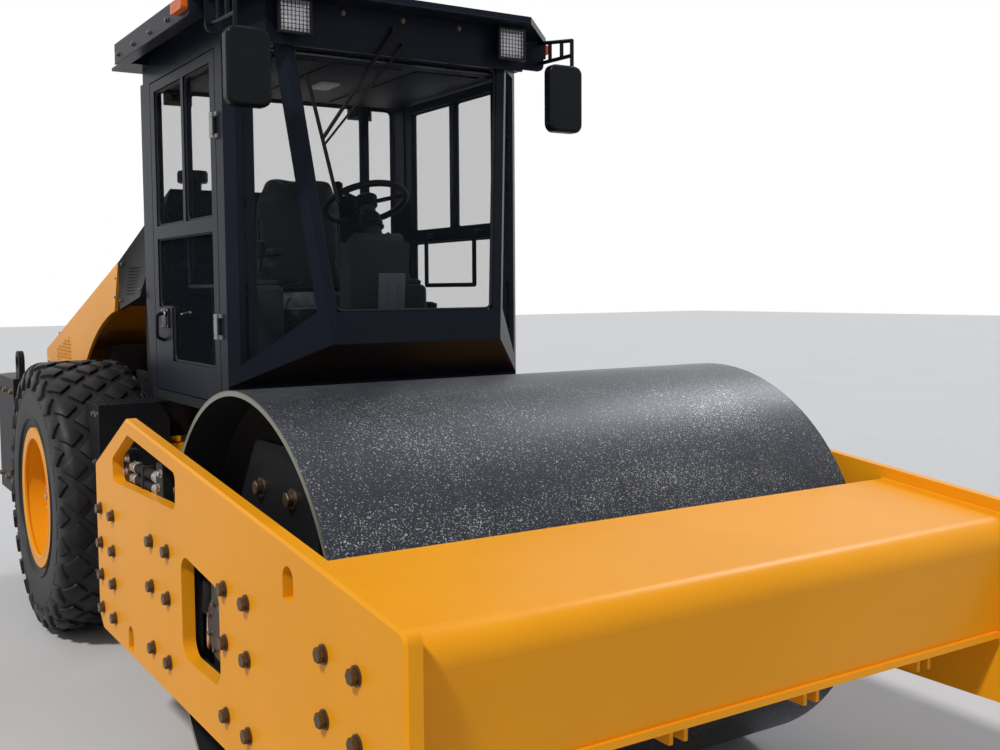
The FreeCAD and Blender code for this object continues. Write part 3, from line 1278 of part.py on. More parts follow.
def cab_roof():
    """Thin roof on a header box, with a folded edge, a rear lip and two front corner boxes."""
    body = new_body("cab_roof")
    under = "roof_high_z - roof_slab"
    edge_low = "roof_high_z - roof_fascia"

    def plan(inset):
        return [("roof_rear_x + %s" % inset, "-(roof_half - %s)" % inset),
                ("roof_corner_x", "-(roof_half - %s)" % inset), ("roof_corner_x", "roof_half - %s" % inset),
                ("roof_rear_x + %s" % inset, "roof_half - %s" % inset)]
    header = [("cab_rear_x + cab_wall", "-tray_half"), ("roof_corner_x", "-tray_half"),
              ("tray_front_x", "-tray_front_half"), ("tray_front_x", "tray_front_half"),
              ("roof_corner_x", "tray_half"), ("cab_rear_x + cab_wall", "tray_half")]
    pad(body, "XY", header, "cab_high_z", under)
    top = [("roof_rear_x", "-roof_half"), ("roof_corner_x", "-roof_half"),
           ("roof_front_x", "-roof_front_half"),
           ("roof_front_x", "roof_front_half"), ("roof_corner_x", "roof_half"), ("roof_rear_x", "roof_half")]
    pad(body, "XY", top, under, "roof_high_z")
    for low_y, high_y in (("-roof_half", "-(roof_half - roof_flange)"),
                          ("roof_half - roof_flange", "roof_half")):
        rows = [("roof_rear_x", low_y), ("roof_corner_x", low_y), ("roof_corner_x", high_y),
                ("roof_rear_x", high_y)]
        pad(body, "XY", rows, edge_low, under)
    rows = plan("0")[:1] + [("roof_rear_x + roof_flange", "-roof_half"),
                            ("roof_rear_x + roof_flange", "roof_half")]
    pad(body, "XY", rows + plan("0")[3:], edge_low, under)
    reach = "(roof_half - roof_flange / 2)"
    lip = [("roof_rear_x - roof_lip", "-" + reach), ("roof_rear_x + 1", "-" + reach),
           ("roof_rear_x + 1", reach), ("roof_rear_x - roof_lip", reach)]
    pad(body, "XY", lip, edge_low, edge_low + " + roof_lip_thick")
    visor = [("-tray_front_half", "visor_low_z"), ("tray_front_half", "visor_low_z"),
             ("tray_front_half", under), ("-tray_front_half", under)]
    pad(body, "YZ", visor, "tray_front_x - visor_thick / 2", "tray_front_x + visor_thick / 2")
    for side in (-1, 1):
        corner = [("%d * tray_front_half" % side, under), ("%d * horn_half" % side, under),
                  ("%d * horn_half" % side, "horn_low_z"), ("%d * tray_front_half" % side, "horn_low_z")]
        pad(body, "YZ", corner, "horn_x - horn_thick / 2", "horn_x + horn_thick / 2")
        fillet(body, "YZ", corner[2:3], "plate_round")
    keep(body, "cab_roof")


cab_roof()


def door_outlines():
    """Openings of a door: two upper panes and the notched lower pane."""
    rear = "door_rear_x + door_rail"
    front = "door_front_x - door_rail"
    top = "door_high_z - 0.7 * door_rail"
    upper = "door_waist_z + door_rail / 2"
    lower = "door_waist_z - door_rail / 2"
    return [
        [(rear, upper), ("door_divider_x - door_bar / 2", upper), ("door_divider_x - door_bar / 2", top),
         (rear, top)],
        [("door_divider_x + door_bar / 2", upper), (front, upper), (front, top),
         ("door_divider_x + door_bar / 2", top)],
        [(rear, lower), (rear, "door_notch_z"), ("door_notch_x", "door_notch_z"),
         ("door_notch_x", "door_pane_low_z"),
         (front, "door_pane_low_z"), (front, lower)],
    ]


def door(name, side):
    """Door frame with its panes and hinge barrels."""
    body = new_body("door_frame_" + name)
    low, high = span(side, "cab_half - door_thick", "cab_half")
    outline = [("door_rear_x", "door_low_z"), ("door_front_x", "door_low_z"),
               ("door_front_x", "door_high_z"), ("door_rear_x", "door_high_z")]
    pad(body, "XZ", outline, low, high)
    for rows in door_outlines():
        pocket(body, "XZ", rows, low, high)
    hinge_y = "%d * (cab_half + hinge_out)" % side
    for z in ("hinge_low_z", "hinge_high_z"):
        top = z + " + hinge_length"
        low_leaf, high_leaf = span(side, "cab_half", "cab_half + hinge_out - 5")
        pad(body, "XZ", [("door_front_x - 45", z), ("door_front_x - 2", z), ("door_front_x - 2", top),
                         ("door_front_x - 45", top)], low_leaf, high_leaf)
        pad_circle(body, "XY", "door_front_x", hinge_y, "hinge_radius", z, top)
        pocket_circle(body, "XY", "door_front_x", hinge_y, "hinge_pin + pin_clearance", z, top)
    rail_y = "%d * (cab_half - door_thick - grab_out)" % side
    inner, outer = span(side, "cab_half - door_thick - grab_out", "cab_half - door_thick + 1")
    for x, z in (("grab_rear_x", "door_waist_z"), ("grab_front_x", "door_waist_z")):
        pad_circle(body, "XZ", x, z, "grab_radius", inner, outer)
        pad_circle(body, "XY", x, rail_y, "grab_radius", "grab_low_z", z)
    pad_circle(body, "YZ", rail_y, "grab_low_z", "grab_radius", "grab_rear_x", "grab_front_x")
    keep(body, "door_frame_" + name)
    glass = new_body("door_glass_" + name)
    low, high = span(side, "cab_half - glass_inset - glass_thick", "cab_half - glass_inset")
    for rows in door_outlines():
        pad(glass, "XZ", rows, low, high)
    keep(glass, "door_glass_" + name)


for name, side in SIDES:
    door(name, side)


def seat():
    """Pedestal, cushion and back."""
    y_low, y_high = "seat_side - seat_width / 2", "seat_side + seat_width / 2"
    x_low, x_high = "seat_x - seat_depth / 2", "seat_x + seat_depth / 2"
    floor = "cab_low_z + floor_thick"
    base = box(x_low + " + 60", x_high + " - 80", y_low + " + 60", y_high + " - 60", floor, "seat_z - 150")
    bracket = box(x_low + " - 60", x_low + " - 35", y_low + " + 120", y_high + " - 120", "seat_z - 175",
                  "seat_z + 150")
    tray = box(x_low + " - 60", x_high + " - 40", y_low + " + 30", y_high + " - 30", "seat_z - 175",
               "seat_z - 150")
    keep(fuse(base, tray, bracket), "seat_base")
    cushion = new_body("seat_cushion")
    rows = [(x_low, y_low), (x_high, y_low), (x_high, y_high), (x_low, y_high)]
    pad(cushion, "XY", rows, "seat_z - 150", "seat_z")
    fillet(cushion, "XY", rows, "70")
    keep(cushion, "seat_cushion")
    back = new_body("seat_back")
    rows = [(y_low, "seat_z + 10"), (y_high, "seat_z + 10"), (y_high + " - 40", "seat_z + back_height"),
            (y_low + " + 40", "seat_z + back_height")]
    pad(back, "YZ", rows, x_low + " - 35", x_low + " + 85")
    fillet(back, "YZ", rows[2:], "80")
    keep(back, "seat_back")


seat()


def steering():
    """Console with a raked column, and the wheel on top of it."""
    floor = value("cab_low_z + floor_thick")
    hub = vector("wheel_x", "seat_side", "wheel_z")
    tilt = math.radians(value("wheel_tilt"))
    axis = FreeCAD.Vector(-math.sin(tilt), 0, math.cos(tilt))
    neck = hub - axis * 200

    def level(x_low, x_high, half_width, z):
        return [FreeCAD.Vector(x, hub.y + y, z) for x, y in (
            (x_low, -half_width), (x_high, -half_width), (x_high, half_width), (x_low, half_width))]
    console = loft(level(neck.x - 110, neck.x - 5, 130, floor), level(neck.x - 60, neck.x + 60, 150, neck.z))
    column = rod(neck - axis * 40, hub - axis * 20, 35)
    keep(solid(console.fuse(column), "steering_console"), "steering_console")
    wheel = Part.makeTorus(value("wheel_radius"), value("wheel_tube"), hub, axis)
    wheel = wheel.fuse(Part.makeCylinder(50, 40, hub - axis * 20, axis))
    across = FreeCAD.Vector(0, 1, 0)
    for angle in (90, 210, 330):
        turn = FreeCAD.Rotation(axis, angle)
        spoke_end = hub + turn.multVec(across) * value("wheel_radius")
        wheel = wheel.fuse(rod(hub, spoke_end, 10))
    keep(solid(wheel, "steering_wheel"), "steering_wheel")


steering()


def mirrors():
    """Rounded mirror housings, each on a looped arm of two tubes from the roof's corner plate."""
    items = []
    back = value("mirror_x - mirror_depth / 2")
    for side in (-1, 1):
        root = vector("horn_x - 2", "horn_half - 2.4 * mirror_arm", "horn_low_z + 4 * mirror_arm")
        rise = FreeCAD.Vector(0, 0, value("roof_fascia"))
        high_end = FreeCAD.Vector(back, value("mirror_side + mirror_width / 4"), root.z + rise.z * 0.6)
        low_end = FreeCAD.Vector(back, high_end.y, root.z - value("mirror_arm"))
        foot = FreeCAD.Vector(back, high_end.y, value("mirror_z + mirror_height / 2") - 2)
        arm = bent_rod([root + rise, high_end, foot], value("mirror_arm"))
        arm = arm.fuse(rod(root, low_end, value("mirror_arm")))
        for share in (0.35, 0.7):
            low = root + (low_end - root) * share
            high = root + rise + (high_end - root - rise) * share
            arm = arm.fuse(rod(low, high, value("mirror_arm")))
        housing = wall_panel("mirror_x - mirror_depth", "mirror_x", "mirror_side - mirror_width / 2",
                             "mirror_side + mirror_width / 2", "mirror_z - mirror_height / 2",
                             "mirror_z + mirror_height / 2")
        edges = [edge for edge in housing.Edges if abs(edge.Vertexes[0].X - edge.Vertexes[-1].X) > 1]
        housing = housing.makeFillet(value("mirror_round"), edges)
        front = [edge for edge in housing.Edges
                 if all(abs(end.X - value("mirror_x")) < 0.01 for end in edge.Vertexes)]
        housing = housing.makeFillet(value("mirror_depth / 3"), front)
        arm = arm.cut(doc.getObject("cab_roof").Shape)
        items.append(solid(mirror_y(housing.fuse(arm), side), "mirror"))
    keep(group(*items), "mirrors")


mirrors()


def work_lamp(face, middle, height, sign):
    """Tapered housing, lens and frame of a work lamp that looks along +X or -X."""
    wide, tall = value("lamp_width / 2"), value("lamp_height / 2")
    narrow = value("lamp_back / 2")
    bezel = value("lamp_bezel")

    def frame(x, half_width, half_height):
        return [FreeCAD.Vector(x, middle + y, height + z) for y, z in (
            (-half_width, -half_height), (half_width, -half_height),
            (half_width, half_height), (-half_width, half_height))]
    step = -sign * value("lamp_depth")
    shape = loft(frame(face, wide, tall), frame(face + step * 0.3, wide, tall))
    shape = shape.fuse(loft(frame(face + step * 0.3, wide, tall), frame(face + step, narrow, tall * 0.8)))
    shape = shape.cut(loft(frame(face + sign, wide - bezel, tall - bezel),
                           frame(face + step * 0.1, wide - bezel, tall - bezel)))
    return shape.removeSplitter()


def lamps():
    """Front and rear work lamps, marker lamps on the roof's sides and tail lamps in their recesses."""
    items = []
    under = value("roof_high_z - roof_slab")
    height = under - value("lamp_height / 2") - 6
    for side in (-1, 1):
        face = value("lamp_face_x")
        front = work_lamp(face, side * value("lamp_side"), height, 1)
        stalk = Part.makeBox(16, 40, 20, FreeCAD.Vector(face - value("lamp_depth / 2") - 8,
                                                        side * value("lamp_side") - 20, under - 20))
        items.append(solid(front.fuse(stalk), "front_lamp"))
        rear_face = value("roof_rear_x - roof_lip + lamp_bezel")
        rear_top = value("roof_high_z - roof_fascia")
        rear = work_lamp(rear_face, side * value("lamp_side"), rear_top - value("lamp_height / 2") - 6, -1)
        stalk = Part.makeBox(16, 40, 20, FreeCAD.Vector(rear_face + value("lamp_depth / 2") - 8,
                                                        side * value("lamp_side") - 20, rear_top - 20))
        items.append(solid(rear.fuse(stalk), "rear_lamp"))
        marker = wall_panel("marker_x - marker_length / 2", "marker_x + marker_length / 2", "roof_half",
                            "roof_half + marker_out", "roof_high_z - roof_fascia / 2 - marker_height / 2",
                            "roof_high_z - roof_fascia / 2 + marker_height / 2")
        edges = [edge for edge in marker.Edges if abs(edge.Vertexes[0].Y - edge.Vertexes[-1].Y) > 1]
        marker = marker.makeFillet(value("marker_height / 4"), edges)
        items.append(solid(mirror_y(marker, side), "marker_lamp"))
        tail = wall_panel("counter_rear_x", "counter_rear_x + tail_depth", "tail_side - tail_width / 2 + 1",
                          "tail_side + tail_width / 2 - 1", "tail_z - tail_height / 2 + 1",
                          "tail_z + tail_height / 2 - 1")
        edges = [edge for edge in tail.Edges if abs(edge.Vertexes[0].X - edge.Vertexes[-1].X) > 1]
        tail = tail.makeFillet(value("tail_height / 5"), edges)
        items.append(solid(mirror_y(tail, side), "tail_lamp"))
    keep(group(*items), "lamps")


lamps()


def wipers():
    """Wiper on the plate over the windshield, its arm of two bars."""
    ahead = value("wiper_ahead")

    def at(y, z):
        return FreeCAD.Vector(nose_section(z, 0)[2].x + ahead, y, z)
    pivot = vector("tray_front_x + visor_thick / 2", "-wiper_side", "wiper_z")
    shape = Part.makeCylinder(16, 26, pivot, FreeCAD.Vector(1, 0, 0))
    start = pivot + FreeCAD.Vector(18, 0, 0)
    end = at(-value("wiper_side + wiper_reach"), value("wiper_z - wiper_fall"))
    shape = shape.fuse(rod(start, end, 8))
    second = pivot + FreeCAD.Vector(0, 40, -60)
    shape = shape.fuse(Part.makeCylinder(10, 26, second, FreeCAD.Vector(1, 0, 0)))
    shape = shape.fuse(rod(second + FreeCAD.Vector(18, 0, 0), end + FreeCAD.Vector(0, 12, -18), 5))
    high = at(end.y - value("blade_lean"), end.z + value("wiper_blade"))
    low = at(end.y + value("blade_lean"), end.z - value("wiper_blade"))
    shape = shape.fuse(rod(high, low, 8)).cut(nose(0)).cut(doc.getObject("cab_roof").Shape)
    keep(solid(shape, "wiper"), "wipers")


wipers()

# Hood over the engine.


def hood_outline(inset):
    """Side view of the hood, with its wheel arch as an arc, as a face at Y = 0."""
    def point(x, z):
        return FreeCAD.Vector(value(x), 0, value(z))
    front_high = point("hood_front_x", "hood_front_z - %s" % inset)
    front_low = point("hood_front_x - 100", "hood_front_low_z")
    mid = point("arch_mid_x", "arch_mid_z")
    rear_arch = point("arch_rear_x", "hood_low_z")
    rear_low = point("hood_rear_x + %s" % inset, "hood_low_z")
    rear_high = point("hood_rear_x + %s" % inset, "hood_rear_z - %s" % inset)
    edges = [
        Part.makeLine(front_high, front_low),
        Part.Arc(front_low, mid, rear_arch).toShape(),
        Part.makeLine(rear_arch, rear_low),
        Part.makeLine(rear_low, rear_high),
        Part.makeLine(rear_high, front_high),
    ]
    return Part.Face(Part.Wire(edges))


# Corners of the perforated field in the hood's side: ahead of the hood's rear, above its lower edge.
GRILLE_FIELD = [(692, 242), (772, 213), (751, 66), (338, 39), (292, 136)]


def grille_holes():
    """Diamond holes through the hood's left side, staggered over the field that fits them."""
    corners = [FreeCAD.Vector(value("hood_rear_x") + ahead, 0, value("hood_low_z") + above)
               for ahead, above in GRILLE_FIELD]
    field = Part.Face(Part.makePolygon(corners + [corners[0]]))
    pitch = value("grille_pitch")
    reach = value("grille_hole / 2")
    deep = value("hood_wall") * 2
    limits = field.BoundBox
    holes = []
    for row in range(int(limits.ZLength / (pitch / 2))):
        z = limits.ZMin + (row + 1) * pitch / 2
        for column in range(int(limits.XLength / pitch)):
            x = limits.XMin + (column + 0.5 * (row % 2) + 0.5) * pitch
            points = [FreeCAD.Vector(x + dx, value("hood_half") - deep / 2, z + dz)
                      for dx, dz in ((-reach, 0), (0, -reach), (reach, 0), (0, reach))]
            if all(field.isInside(FreeCAD.Vector(point.x, 0, point.z), 0.01, True) for point in points):
                face = Part.Face(Part.makePolygon(points + [points[0]]))
                holes.append(face.extrude(FreeCAD.Vector(0, deep, 0)))
    return holes


def hood_shell():
    """Slab-sided hood, open below and at the front."""
    half_width = value("hood_half")
    wall = value("hood_wall")
    outer = hood_outline("0")
    outer.translate(FreeCAD.Vector(0, -half_width, 0))
    shape = outer.extrude(FreeCAD.Vector(0, 2 * half_width, 0))
    room_low = value("hood_low_z") - 10
    front = value("hood_front_x") + 10
    slope = (value("hood_front_z") - value("hood_rear_z")) / (value("hood_front_x") - value("hood_rear_x"))
    rear = value("hood_rear_x") + wall
    points = [
        FreeCAD.Vector(front, 0, room_low),
        FreeCAD.Vector(rear, 0, room_low),
        FreeCAD.Vector(rear, 0, value("hood_rear_z") - wall * 1.05 + slope * wall),
        FreeCAD.Vector(front, 0, value("hood_front_z") - wall * 1.05 + slope * 10),
    ]
    room = Part.Face(Part.makePolygon(points + [points[0]]))
    room.translate(FreeCAD.Vector(0, -half_width + wall, 0))
    room = room.extrude(FreeCAD.Vector(0, 2 * (half_width - wall), 0))
    shape = shape.cut(room)
    along = FreeCAD.Vector(0, 1, 0)
    for side in (-1, 1):
        foot = hood_axis("hood_hinge_y - 32")
        knuckle = Part.makeCylinder(HOOD_KNUCKLE, 64, foot, along)
        knuckle = knuckle.fuse(Part.makeBox(50, 64, HOOD_KNUCKLE + 12, foot + FreeCAD.Vector(-58, 0, -26)))
        knuckle = knuckle.cut(Part.makeCylinder(HOOD_PIN + value("pin_clearance"), 64, foot, along))
        shape = shape.fuse(mirror_y(knuckle, side))
        for hole in grille_holes():
            shape = shape.cut(mirror_y(hole, side))
    keep(solid(shape, "hood_shell"), "hood_shell")


hood_shell()

# Wheels.


def wheel(name, side):
    """Tyre and rim turned about the axle."""
    tyre = new_body("tyre_" + name)
    place(tyre, "-axle_back", "%d * wheel_center" % side, "tyre_radius")
    half_tyre = "tyre_width / 2"
    # Section of a tyre: how far in from its side, radius.
    section = [("35", "rim_radius + rim_wall"), ("0", "rim_radius + 200"), ("55", "tyre_radius")]
    rows = [("-(%s - %s)" % (half_tyre, inset), radius) for inset, radius in section]
    rows += [("%s - %s" % (half_tyre, inset), radius) for inset, radius in reversed(section)]
    revolve(tyre, rows)
    keep(tyre, "tyre_" + name)
    rim = new_body("rim_" + name)
    place(rim, "-axle_back", "0", "tyre_radius")
    sign = "%d * " % side
    outer = "rim_face"
    inner = "(wheel_center - (rim_face - wheel_center))"
    rows = [(sign + outer, "flange_radius"), (sign + outer, "rim_radius"),
            (sign + inner, "rim_radius"), (sign + inner, "flange_radius"),
            (sign + "(%s + 14)" % inner, "flange_radius"),
            (sign + "(%s + 14)" % inner, "rim_radius + rim_wall"),
            (sign + "(%s - 14)" % outer, "rim_radius + rim_wall"),
            (sign + "(%s - 14)" % outer, "flange_radius")]
    revolve(rim, rows)
    rows = [(sign + "dish_face", "0"), (sign + "dish_face", "rim_radius + 1"),
            (sign + "(dish_face - dish_thick)", "rim_radius + 1"), (sign + "(dish_face - dish_thick)", "0")]
    revolve(rim, rows)
    hub_end = "(wheel_center - tyre_width / 2 - 40 + pin_clearance)"
    rows = [(sign + hub_end, "0"), (sign + hub_end, "planet_radius"),
            (sign + "(dish_face - dish_thick)", "planet_radius"), (sign + "(dish_face - dish_thick)", "0")]
    revolve(rim, rows)
    rows = [(sign + "dish_face", "0"), (sign + "dish_face", "planet_radius"),
            (sign + "(dish_face + 70)", "planet_radius - 25"), (sign + "(dish_face + 70)", "0")]
    revolve(rim, rows)
    keep(rim, "rim_" + name)


for name, side in SIDES:
    wheel(name, side)

# Every object has to be sound before anything is written.
doc.recompute()
faults = [item.Name for item in doc.Objects if {"Invalid", "Error"} & set(item.State)]
if faults:
    raise ValueError("failed objects: %s" % ", ".join(faults))
os.makedirs("parts", exist_ok=True)
for item in exported:
    shape = item.Shape
    if shape.isNull() or not shape.isValid():
        raise ValueError("unsound shape: %s" % item.Label)
    shape.exportStep(os.path.join("parts", item.Label + ".step"))
print("wrote %d sub-parts" % len(exported))
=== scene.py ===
"""Road roller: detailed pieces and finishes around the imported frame.

Metres, +X forward to the drum, +Y to the machine's left, +Z up, Z = 0 on the ground.
"""
from __future__ import annotations

import json
import logging
import math
from dataclasses import dataclass
from enum import Enum

import bmesh
import bpy
from mathutils import Matrix, Vector

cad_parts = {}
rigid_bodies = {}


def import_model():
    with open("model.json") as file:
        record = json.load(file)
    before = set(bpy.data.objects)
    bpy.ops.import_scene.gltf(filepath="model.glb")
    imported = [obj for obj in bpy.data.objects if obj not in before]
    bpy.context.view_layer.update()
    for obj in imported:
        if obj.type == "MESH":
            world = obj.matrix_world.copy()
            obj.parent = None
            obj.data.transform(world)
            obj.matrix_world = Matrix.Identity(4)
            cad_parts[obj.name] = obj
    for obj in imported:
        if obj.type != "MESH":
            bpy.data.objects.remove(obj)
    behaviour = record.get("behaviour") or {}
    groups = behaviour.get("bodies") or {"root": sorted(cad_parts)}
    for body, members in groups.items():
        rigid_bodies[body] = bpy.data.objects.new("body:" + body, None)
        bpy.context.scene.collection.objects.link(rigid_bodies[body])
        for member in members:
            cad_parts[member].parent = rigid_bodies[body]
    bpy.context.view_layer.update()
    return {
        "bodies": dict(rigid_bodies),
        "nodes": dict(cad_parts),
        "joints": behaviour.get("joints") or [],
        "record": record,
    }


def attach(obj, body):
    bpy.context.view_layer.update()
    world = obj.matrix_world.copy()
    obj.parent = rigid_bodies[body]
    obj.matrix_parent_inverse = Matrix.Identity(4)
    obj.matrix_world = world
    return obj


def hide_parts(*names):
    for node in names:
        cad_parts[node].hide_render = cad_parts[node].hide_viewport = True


LOG = logging.getLogger("road_roller")
Point = tuple[float, float, float]
Colour = tuple[float, float, float]
Mesh = bmesh.types.BMesh
Tree = bpy.types.NodeTree
Socket = bpy.types.NodeSocket


class Part(str, Enum):
    """Moving bodies of the machine."""

    REAR = "rear_frame"
    FRONT = "front_frame"
    DRUM = "drum"
    WHEEL_RIGHT = "wheel_right"
    WHEEL_LEFT = "wheel_left"
    DOOR_RIGHT = "door_right"
    DOOR_LEFT = "door_left"
    HOOD = "hood"


class Side(Enum):
    """Sides of the machine, with the sign of their Y."""

    RIGHT = -1
    LEFT = 1

    @property
    def word(self) -> str:
        """The side's name in piece and node names."""
        return self.name.lower()

    @property
    def wheel(self) -> Part:
        """The wheel on this side."""
        return Part["WHEEL_" + self.name]

    @property
    def door(self) -> Part:
        """The door on this side."""
        return Part["DOOR_" + self.name]


# Node wiring

def rgba(colour: Colour) -> tuple[float, float, float, float]:
    """A colour with full alpha."""
    return (*colour, 1.0)


class Shader:
    """A node tree under construction, with short calls for its nodes."""

    def __init__(self, tree: Tree) -> None:
        """Keeps the tree that nodes are added to."""
        self.tree = tree

    def feed(self, socket: Socket, given: object) -> None:
        """Links a socket to another, or sets its value.

        Args:
            socket: the input socket.
            given: an output socket or a value.
        """
        if isinstance(given, Socket):
            self.tree.links.new(given, socket)
        else:
            socket.default_value = given

    def node(self, kind: str, inputs: dict | None = None, **settings: object) -> bpy.types.Node:
        """Adds a node.

        Args:
            kind: the node's type name.
            inputs: socket name or index to a value or to another socket.
            settings: properties of the node itself.

        Returns:
            The new node.
        """
        made = self.tree.nodes.new(kind)
        for name, setting in settings.items():
            setattr(made, name, setting)
        for key, given in (inputs or {}).items():
            self.feed(made.inputs[key], given)
        return made

    def math(self, operation: str, first: object, second: object = 0.0, clamp: bool = False) -> Socket:
        """Result of a maths node."""
        return self.node("ShaderNodeMath", {0: first, 1: second}, operation=operation, use_clamp=clamp).outputs[0]

    def plus(self, first: object, second: object, clamp: bool = False) -> Socket:
        """Sum of two numbers."""
        return self.math("ADD", first, second, clamp)

    def minus(self, first: object, second: object, clamp: bool = False) -> Socket:
        """One number less another."""
        return self.math("SUBTRACT", first, second, clamp)

    def times(self, first: object, second: object, clamp: bool = False) -> Socket:
        """Product of two numbers."""
        return self.math("MULTIPLY", first, second, clamp)

    def over(self, first: object, limit: object) -> Socket:
        """1 where a number is over a limit, and 0 elsewhere."""
        return self.math("GREATER_THAN", first, limit)

    def mix(self, factor: object, first: object, second: object) -> Socket:
        """Colour between two colours."""
        return self.node("ShaderNodeMix", {"Factor": factor, 6: first, 7: second}, data_type="RGBA").outputs[2]

    def blend(self, factor: object, first: object, second: object) -> Socket:
        """Number between two numbers."""
        return self.node("ShaderNodeMix", {0: factor, 2: first, 3: second}, data_type="FLOAT").outputs[0]

    def ramp(self, factor: object, low: float, high: float) -> Socket:
        """Value from 0 at low to 1 at high, with soft ends."""
        made = self.node("ShaderNodeMapRange", {0: factor, 1: low, 2: high}, interpolation_type="SMOOTHSTEP")
        return made.outputs["Result"]

    def noise(self, vector: object, scale: object, detail: float = 4.0, rough: float = 0.55) -> Socket:
        """Fractal noise value."""
        inputs = {"Vector": vector, "Scale": scale, "Detail": detail, "Roughness": rough}
        return self.node("ShaderNodeTexNoise", inputs).outputs[0]

    def scaled(self, vector: object, scale: Point) -> Socket:
        """Coordinates stretched along each axis."""
        return self.node("ShaderNodeMapping", {"Vector": vector, "Scale": scale}).outputs["Vector"]

    def axis(self, vector: object, index: int) -> Socket:
        """One coordinate of a vector."""
        return self.node("ShaderNodeSeparateXYZ", {0: vector}).outputs[index]


class Group(Shader):
    """A shader node group under construction, which reads a vector."""

    def __init__(self, name: str, outputs: tuple[str, ...], **inputs: float) -> None:
        """Makes an empty group.

        Args:
            name: the group's name.
            outputs: name of each number that it puts out.
            inputs: start value of each number that it takes.
        """
        super().__init__(bpy.data.node_groups.new(name, "ShaderNodeTree"))
        sockets = self.tree.interface
        sockets.new_socket("Vector", in_out="INPUT", socket_type="NodeSocketVector")
        for label, start in inputs.items():
            made = sockets.new_socket(label, in_out="INPUT", socket_type="NodeSocketFloat")
            made.default_value = start
        for label in outputs:
            sockets.new_socket(label, in_out="OUTPUT", socket_type="NodeSocketFloat")
        self.entry = self.tree.nodes.new("NodeGroupInput").outputs
        self.leave = self.tree.nodes.new("NodeGroupOutput").inputs
        self.place = self.entry["Vector"]


class Surface(Shader):
    """A material's surface under construction, on the machine's own metres."""

    def __init__(self, material: bpy.types.Material, effects: dict[str, Tree]) -> None:
        """Gives a material its surface node.

        Args:
            material: the material.
            effects: the shared node groups by name.
        """
        material.use_nodes = True
        material.node_tree.nodes.clear()
        super().__init__(material.node_tree)
        self.effects = effects
        self.place = self.node("ShaderNodeTexCoord").outputs["Object"]
        self.principled = self.node("ShaderNodeBsdfPrincipled")
        self.node("ShaderNodeOutputMaterial", {"Surface": self.principled.outputs[0]})

    def use(self, effect: str, **inputs: float) -> bpy.types.NodeOutputs:
        """Outputs of a shared effect, placed in the material."""
        return self.node("ShaderNodeGroup", {"Vector": self.place, **inputs},
                         node_tree=self.effects[effect]).outputs

    def show(self, inputs: dict[str, object]) -> None:
        """Feeds the surface's sockets by name."""
        for name, given in inputs.items():
            self.feed(self.principled.inputs[name], given)

    def bump(self, height: object, strength: float, depth: float) -> None:
        """Feeds a height to the surface's normal."""
        made = self.node("ShaderNodeBump", {"Strength": strength, "Distance": depth, "Height": height})
        self.show({"Normal": made.outputs[0]})


def grime_film() -> Tree:
    """Dust that gathers low down and in broad patches.

    Returns:
        The group.
    """
    sh = Group("grime_film", ("Mask",), Amount=0.3, Fade=1.2)
    broad = sh.ramp(sh.noise(sh.place, 1.7, 6.0, 0.6), 0.42, 0.75)
    fine = sh.ramp(sh.noise(sh.place, 38.0, 3.0, 0.7), 0.35, 0.8)
    height = sh.math("DIVIDE", sh.axis(sh.place, 2), sh.entry["Fade"])
    total = sh.plus(sh.times(broad, 0.65), sh.times(sh.minus(1.15, height, clamp=True), 0.6))
    total = sh.times(total, sh.plus(sh.times(fine, 0.5), 0.45))
    sh.feed(sh.leave["Mask"], sh.times(total, sh.entry["Amount"], clamp=True))
    return sh.tree


def paint_peel() -> Tree:
    """Gentle waviness of sprayed paint over plate.

    Returns:
        The group.
    """
    sh = Group("paint_peel", ("Height", "Tone"), Strength=1.0)
    both = sh.plus(sh.times(sh.noise(sh.place, 260.0, 2.0, 0.5), 0.35), sh.noise(sh.place, 9.0, 2.0, 0.5))
    sh.feed(sh.leave["Height"], sh.times(both, sh.entry["Strength"]))
    sh.feed(sh.leave["Tone"], sh.noise(sh.place, 0.9, 3.0, 0.6))
    return sh.tree


def scuff_lines() -> Tree:
    """Fine scuffs that run mostly one way.

    Returns:
        The group.
    """
    sh = Group("scuff_lines", ("Mask",), Amount=0.3)
    level = sh.noise(sh.scaled(sh.place, (3.0, 3.0, 140.0)), 2.0, 4.0, 0.65)
    upright = sh.noise(sh.scaled(sh.place, (120.0, 120.0, 4.0)), 1.4, 4.0, 0.65)
    both = sh.math("MAXIMUM", sh.ramp(level, 0.62, 0.72), sh.ramp(upright, 0.64, 0.74))
    patch = sh.ramp(sh.noise(sh.place, 3.2, 3.0, 0.6), 0.45, 0.65)
    sh.feed(sh.leave["Mask"], sh.times(sh.times(both, patch), sh.entry["Amount"]))
    return sh.tree


def steel_speckle() -> Tree:
    """Small pale dots and dashes painted on steel as glints of light, thicker in patches.

    Returns:
        The group.
    """
    sh = Group("steel_speckle", ("Mask",), Scale=130.0, Density=0.5)
    scale = sh.entry["Scale"]
    dots = sh.noise(sh.scaled(sh.place, (1.0, 0.55, 1.0)), scale, 2.0, 0.6)
    coarse = sh.noise(sh.place, sh.times(scale, 0.36), 3.0, 0.7)
    patch = sh.noise(sh.scaled(sh.place, (1.0, 0.5, 1.0)), 3.0, 4.0, 0.6)
    limit = sh.minus(0.74, sh.times(sh.entry["Density"], sh.times(patch, 0.34)))
    first = sh.times(sh.minus(dots, limit), 22.0, clamp=True)
    second = sh.times(sh.minus(coarse, sh.plus(limit, 0.02)), 16.0, clamp=True)
    sh.feed(sh.leave["Mask"], sh.math("MAXIMUM", first, second))
    return sh.tree


